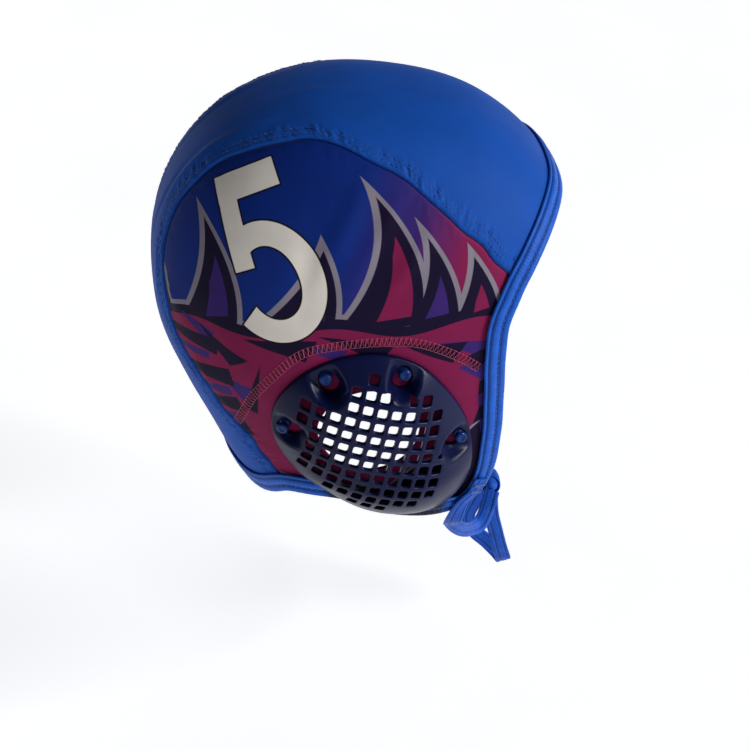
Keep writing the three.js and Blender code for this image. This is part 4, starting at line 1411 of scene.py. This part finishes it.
def wrap_band(centre, lean, girth, width, shift):
    """One turn of tape round the knot, leaning to one side."""
    turn = full_turn(72)
    ring = np.stack((shift + lean * np.cos(turn), girth * np.sin(turn), girth * np.cos(turn)), -1)
    normal = unit(ring * (0.2, 1.0, 1.0))
    across = unit(np.cross(loop_tangent(ring), normal))
    return sweep(centre + ring, across, normal, tape_section(width, 1.2 * MM), True)


def knot_bodies(form, tie):
    """The tape turned on itself: a lumpy core and two turns over it."""
    centre = knot_place(form, tie)
    a = np.linspace(0.06, np.pi - 0.06, 26)[:, None]
    b = full_turn(44)[None, :]
    lumps = 1 + 0.05 * np.sin(3 * b + 2 * a) + 0.05 * np.sin(5 * a)
    radius = np.sin(a) * tie.knot_girth * 0.42 * lumps
    core = np.stack(np.broadcast_arrays(
        np.cos(a) * tie.knot_length / 2, radius * np.cos(b), radius * np.sin(b)), -1)
    points = (centre + core).reshape(-1, 3)
    girth = tie.knot_girth * 0.43
    one = wrap_band(centre, 2.6 * MM * math.sin(0.9), girth, 6.2 * MM, -1.8 * MM)
    two = wrap_band(centre, -2.2 * MM * math.sin(0.7), girth * 0.97, 5.6 * MM, 2.6 * MM)
    return join((points, tube_faces(points, *lumps.shape)), one, two)


# Add-on

class CAP_OT_crown(bpy.types.Operator):
    """Adds the crown cloth and the cover stitches along its seams."""
    bl_idname = "cap.crown"
    bl_label = "Crown"
    bl_options = {"REGISTER", "UNDO"}

    def execute(self, context):
        cloth = context.scene.cap_cloth
        form = worn_form()
        outer, inner, place = crown_sheet(form, cloth)
        points, faces, marks = shell(outer, inner, False)
        blue = cloth_finish("crown_knit", list(cloth.crown_blue), cloth.knit_pitch)
        lining = cloth_finish("cloth_inside", list(cloth.lining), cloth.knit_pitch, 0.7)
        add_piece("crown_cloth", points, outward_faces(points, faces), (blue, lining), "crown_cloth",
                  ("crown_panel",), marks, twice(place))
        thread = thread_finish("cover_thread", shade_of(cloth.crown_blue, 0.72))
        for name, side in SIDES:
            add_piece(f"crown_stitches_{name}", *seam_stitches(form, cloth, side), (thread,), "crown_cloth")
        return {"FINISHED"}


def seam_stitches(form, cloth, side):
    """Two rows of cover stitches on the crown beside one seam."""
    v = np.linspace(0.006, 0.994, 900)
    line = form.crown_point(v, np.full_like(v, side))
    run = running(line)
    inward = unit(form.crown_point(v, side * 0.97) - line)
    count = int(run[-1] / cloth.stitch_pitch)
    rows = (cloth.first_row, cloth.second_row)
    bodies = []
    for row in rows:
        edge = form.settle(line + inward * row)
        sewn = []
        for share in (0.12, 0.88):
            at = (np.arange(count) + share) * cloth.stitch_pitch
            points = np.stack([np.interp(at, run, edge[:, k]) for k in range(3)], -1)
            relief = seam_relief(row, at + SEAM_SHIFT * (side > 0), cloth.pucker, rows)
            sewn.append(form.lift(points, relief))
        normals = form.normal((sewn[0] + sewn[1]) / 2)
        bodies.append(stitches(*sewn, normals, cloth.thread, cloth.crown_step - 0.02 * MM))
    return join(*bodies)


class CAP_OT_sides(bpy.types.Operator):
    """Adds the printed side cloths and the flatlock arc over each guard."""
    bl_idname = "cap.sides"
    bl_label = "Side cloths"
    bl_options = {"REGISTER", "UNDO"}

    def execute(self, context):
        cloth = context.scene.cap_cloth
        form = worn_form()
        lining = cloth_finish("side_inside", list(cloth.lining), cloth.knit_pitch, 0.7)
        thread = thread_finish("flatlock_thread", srgb(166, 36, 84))
        for name, side in SIDES:
            outer, inner, place = side_sheet(form, cloth, side)
            points, faces, marks = shell(outer, inner, True)
            printed = cloth_finish(f"side_print_{name}", print_ground(cloth, -side), cloth.knit_pitch)
            add_piece(f"side_cloth_{name}", points, outward_faces(points, faces), (printed, lining),
                      "side_cloth", (f"side_panel_{name}",), marks, twice(place))
            add_piece(f"flatlock_{name}", *zigzag_stitches(form, cloth, side), (thread,), "side_cloth")
        return {"FINISHED"}


def zigzag_stitches(form, cloth, side):
    """A band of slanting threads between two rails, on the folds of the cloth."""
    line = zigzag_line(form, side)
    line = resampled(line, 2 * int(running(line)[-1] / (1.9 * MM)) + 1)[0]
    normal = form.normal(line)
    across = unit(np.cross(normal, unit(np.gradient(line, axis=0)))) * 2.1 * MM
    rails = (form.settle(line - across), form.settle(line + across))
    left, right = (form.lift(rail, side_lift(form, rail)) for rail in rails)
    normals = normal[:-2:2]
    thread = cloth.thread
    inner, outer = left + (right - left) * 0.08, left + (right - left) * 0.92
    bodies = [stitches(left[:-2:2], right[1:-1:2], normals, thread * 1.15, 0.06 * MM),
              stitches(right[1:-1:2], left[2::2], normals, thread * 0.6, 0.02 * MM),
              stitches(inner[:-2:2], inner[2::2], normals, thread * 0.8, 0.04 * MM),
              stitches(outer[:-2:2], outer[2::2], normals, thread * 0.8, 0.04 * MM)]
    return join(*bodies)


class CAP_OT_binding(bpy.types.Operator):
    """Adds the folded tape round the edge of the cap and its stitches."""
    bl_idname = "cap.binding"
    bl_label = "Binding"
    bl_options = {"REGISTER", "UNDO"}

    def execute(self, context):
        scene = context.scene
        cloth, binding = scene.cap_cloth, scene.cap_binding
        form = worn_form()
        rings, place, line = binding_points(form, cloth, binding)
        rows, cols = rings.shape[:2]
        points = rings.reshape(-1, 3)
        faces = outward_faces(points, grid_faces(rows, cols, True, True))
        # Dark share of the tape: turned printed cloth and painted shade under the guards.
        tint = np.broadcast_to(turned_cloth_and_shade(form, line)[:, None], (rows, cols)).ravel()
        # Grooves along which painted shade darkens the tape.
        grooves = [(share * binding.width, 0.9 * MM) for share in (FOLD_GROOVE, SEWN_GROOVE)]
        tape = tape_finish("binding_tape", list(binding.blue), 0.9 * MM, list(binding.dark), grooves)
        add_piece("binding_tape", points, faces, (tape,), "binding_tape", ("edge_binding",), None,
                  place.reshape(-1, 3), tint)
        thread = thread_finish("binding_thread", srgb(44, 92, 180))
        add_piece("binding_stitches", *binding_stitches(form, cloth, binding), (thread,), "binding_tape")
        return {"FINISHED"}


def binding_stitches(form, cloth, binding):
    """Lock stitches in the sewn groove of the binding."""
    pitch = 2.2 * MM
    run = edge_line(form, BINDING_STATIONS)[1]
    count = int((run[-1] + run[1]) / pitch)
    line, inward, _ = edge_frames(form, count * 4)
    top, _, fold = binding_heights(cloth, binding)
    b = binding.width * (1 - SEWN_GROOVE) + fold
    seat = binding_surface(form, line, inward, b, top - binding.groove)
    starts, ends = seat[0::4], seat[3::4]
    return stitches(starts, ends, form.normal(starts), 0.2 * MM, 0.1 * MM)


class CAP_OT_guards(bpy.types.Operator):
    """Adds the moulded ear guards and the pegs that hold them."""
    bl_idname = "cap.guards"
    bl_label = "Ear guards"
    bl_options = {"REGISTER", "UNDO"}

    def execute(self, context):
        scene = context.scene
        cloth, guard, peg = scene.cap_cloth, scene.cap_guard, scene.cap_peg
        form = worn_form()
        shape = GuardForm(form, cloth, scene.cap_binding, guard)
        flat = guard_flat(shape)
        navy = moulded_finish("guard_plastic", list(guard.navy), 0.30, 0.05)
        blue = moulded_finish("peg_plastic", list(peg.blue), 0.24, 0.1)
        for name, side in SIDES:
            points, polygons = guard_piece(shape, flat, side)
            add_piece(f"guard_{name}", points, polygons, (navy,), "guard_plastic", (f"ear_guard_{name}",))
            for k, place in enumerate(shape.pegs):
                back, up = shape.centre_y + place[0], shape.centre_z + place[1] - form.ear_z
                foot = form.side_point(side, -back, up)
                way = form.normal(foot)
                body = lathe(peg_profile(peg), 44, foot + way * 0.45 * MM, way)
                add_piece(f"button_{name}_{k + 1}", *body, (blue,), "peg_plastic", (f"peg_{name}_{k + 1}",))
        return {"FINISHED"}


class CAP_OT_ties(bpy.types.Operator):
    """Adds the two ties, the knot and the hanging bow."""
    bl_idname = "cap.ties"
    bl_label = "Ties"
    bl_options = {"REGISTER", "UNDO"}

    def execute(self, context):
        scene = context.scene
        cloth, binding, tie = scene.cap_cloth, scene.cap_binding, scene.cap_tie
        form = worn_form()
        grooves = [(tie.width * share, wide * MM) for share, wide in TIE_GROOVE_ROWS]
        tape = tape_finish("tie_tape", list(tie.blue), 1.2 * MM, None, grooves)
        thread = thread_finish("bartack_thread", srgb(20, 66, 150))
        rows = (("right", -1, RIGHT_TIE_ROWS, 190), ("left", 1, LEFT_TIE_ROWS, 130))
        for name, side, table, count in rows:
            stations = tie_stations(form, cloth, binding, tie, table, side)
            points, polygons, place, middle = tape_body(stations, tie, count, 1.0 + side)
            add_piece(f"strap_{name}", points, polygons, (tape,), "tie_tape", (f"tie_{name}",), None, place)
            add_piece(f"bartack_{name}", *bartack(*middle, tie), (thread,), "tie_tape")
        points, polygons, place, _ = tape_body(bow_stations(form, tie), tie, 200, 2.3)
        add_piece("bow_tape", points, polygons, (tape,), "tie_tape", ("bow_loop",), None, place)
        add_piece("knot_turns", *knot_bodies(form, tie), (tape,), "tie_tape", ("knot",))
        return {"FINISHED"}


def bartack(line, across, up, run, tie):
    """Two tight zigzag bars that hold a tie's end to the binding."""
    bodies = []
    for at in (2.4 * MM, 6.6 * MM):
        k = int(np.searchsorted(run, at))
        t = unit(line[k + 1] - line[k])
        centre = line[k] + up[k] * (tie.thick / 2 - 0.02 * MM)
        x = np.linspace(-0.38, 0.38, 15) * tie.width
        low, high = (centre + across[k] * x[:, None] + t * rise for rise in (-0.8 * MM, 0.8 * MM))
        normals = np.broadcast_to(up[k], low[:-1].shape)
        bodies.append(stitches(low[:-1], high[1:], normals, 0.19 * MM, 0.08 * MM))
        bodies.append(stitches(high[1:], low[1:], normals, 0.19 * MM, 0.12 * MM))
    return join(*bodies)


class CAP_OT_studio(bpy.types.Operator):
    """Adds the floor, the lights, the world and the camera."""
    bl_idname = "cap.studio"
    bl_label = "Studio"
    bl_options = {"REGISTER", "UNDO"}

    def execute(self, context):
        scene = context.scene
        studio = scene.cap_studio
        low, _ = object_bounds()
        floor_z = low[2] - studio.floor_drop
        finish = Finish("studio_floor")
        spot = finish.object_place()
        cloud = finish.noise(spot, 6.0, 3.0)
        base = finish.mixed(cloud, srgb(248, 248, 248), srgb(242, 242, 243))
        paper = finish.surface(base_color=base, roughness=0.8, emission_color=base, emission_strength=0.55,
                               normal=finish.bump(finish.noise(spot, 400.0, 3.0), 0.05, 0.0005))
        mesh = bpy.data.meshes.new("floor")
        corners = [(x * FLOOR_HALF, y * FLOOR_HALF, floor_z) for x, y in ((-1, -1), (1, -1), (1, 1), (-1, 1))]
        mesh.from_pydata(corners, [], [(0, 1, 2, 3)])
        mesh.materials.append(paper)
        floor = bpy.data.objects.new("floor", mesh)
        scene.collection.objects.link(floor)
        floor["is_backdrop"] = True
        target = Vector(studio.target)
        for name, way, spread, strength in LIGHT_ROWS:
            data = bpy.data.lights.new(name, "SUN")
            data.energy = strength
            data.angle = math.radians(spread)
            lamp = bpy.data.objects.new(name, data)
            lamp.rotation_euler = Vector(way).to_track_quat("Z", "Y").to_euler()
            scene.collection.objects.link(lamp)
        sky = Finish("studio_world", bpy.data.worlds)
        height = sky.parts(sky.node("ShaderNodeTexCoord", output="Generated"))[2]
        pale = sky.mixed(height.step(0.02, 0.16), srgb(232, 233, 236), srgb(70, 73, 80))
        light = sky.node("ShaderNodeBackground", {}, {"Color": pale, "Strength": 1.0}, "Background")
        sky.node("ShaderNodeOutputWorld", {}, {"Surface": light})
        scene.world = sky.owner
        away = Vector((-math.cos(studio.elevation) * math.cos(studio.azimuth),
                       math.cos(studio.elevation) * math.sin(studio.azimuth), math.sin(studio.elevation)))
        data = bpy.data.cameras.new("camera")
        data.lens = LENS
        data.sensor_width = 36.0
        data.dof.use_dof = False
        camera = bpy.data.objects.new("camera", data)
        camera.location = target + away * studio.distance
        camera.rotation_euler = (target - camera.location).to_track_quat("-Z", "Y").to_euler()
        scene.collection.objects.link(camera)
        scene.camera = camera
        scene.view_settings.view_transform = "Standard"
        return {"FINISHED"}


OPERATORS = (CAP_OT_crown, CAP_OT_sides, CAP_OT_binding, CAP_OT_guards, CAP_OT_ties, CAP_OT_studio)


class CAP_PT_panel(bpy.types.Panel):
    """Lists the steps and their settings."""
    bl_idname = "CAP_PT_panel"
    bl_label = "Water polo cap"
    bl_space_type = "VIEW_3D"
    bl_region_type = "UI"
    bl_category = "Cap"

    def draw(self, context):
        layout = self.layout
        for operator in OPERATORS:
            layout.operator(operator.bl_idname)
        for key, group in SETTINGS:
            box = layout.box()
            box.label(text=key)
            for prop in group.__annotations__:
                box.prop(getattr(context.scene, key), prop)


SETTINGS = (
    ("cap_cloth", CapClothSettings), ("cap_binding", CapBindingSettings), ("cap_guard", CapGuardSettings),
    ("cap_peg", CapPegSettings), ("cap_tie", CapTieSettings), ("cap_studio", CapStudioSettings),
)


def register():
    for key, group in SETTINGS:
        bpy.utils.register_class(group)
        setattr(bpy.types.Scene, key, bpy.props.PointerProperty(type=group))
    for operator in OPERATORS:
        bpy.utils.register_class(operator)
    bpy.utils.register_class(CAP_PT_panel)


def unregister():
    bpy.utils.unregister_class(CAP_PT_panel)
    for operator in reversed(OPERATORS):
        bpy.utils.unregister_class(operator)
    for key, group in reversed(SETTINGS):
        delattr(bpy.types.Scene, key)
        bpy.utils.unregister_class(group)


def main():
    """Builds the cap and its stage."""
    register()
    bpy.ops.cap.crown()
    bpy.ops.cap.sides()
    bpy.ops.cap.binding()
    bpy.ops.cap.guards()
    bpy.ops.cap.ties()
    bpy.ops.cap.studio()


if __name__ == "__main__":
    main()
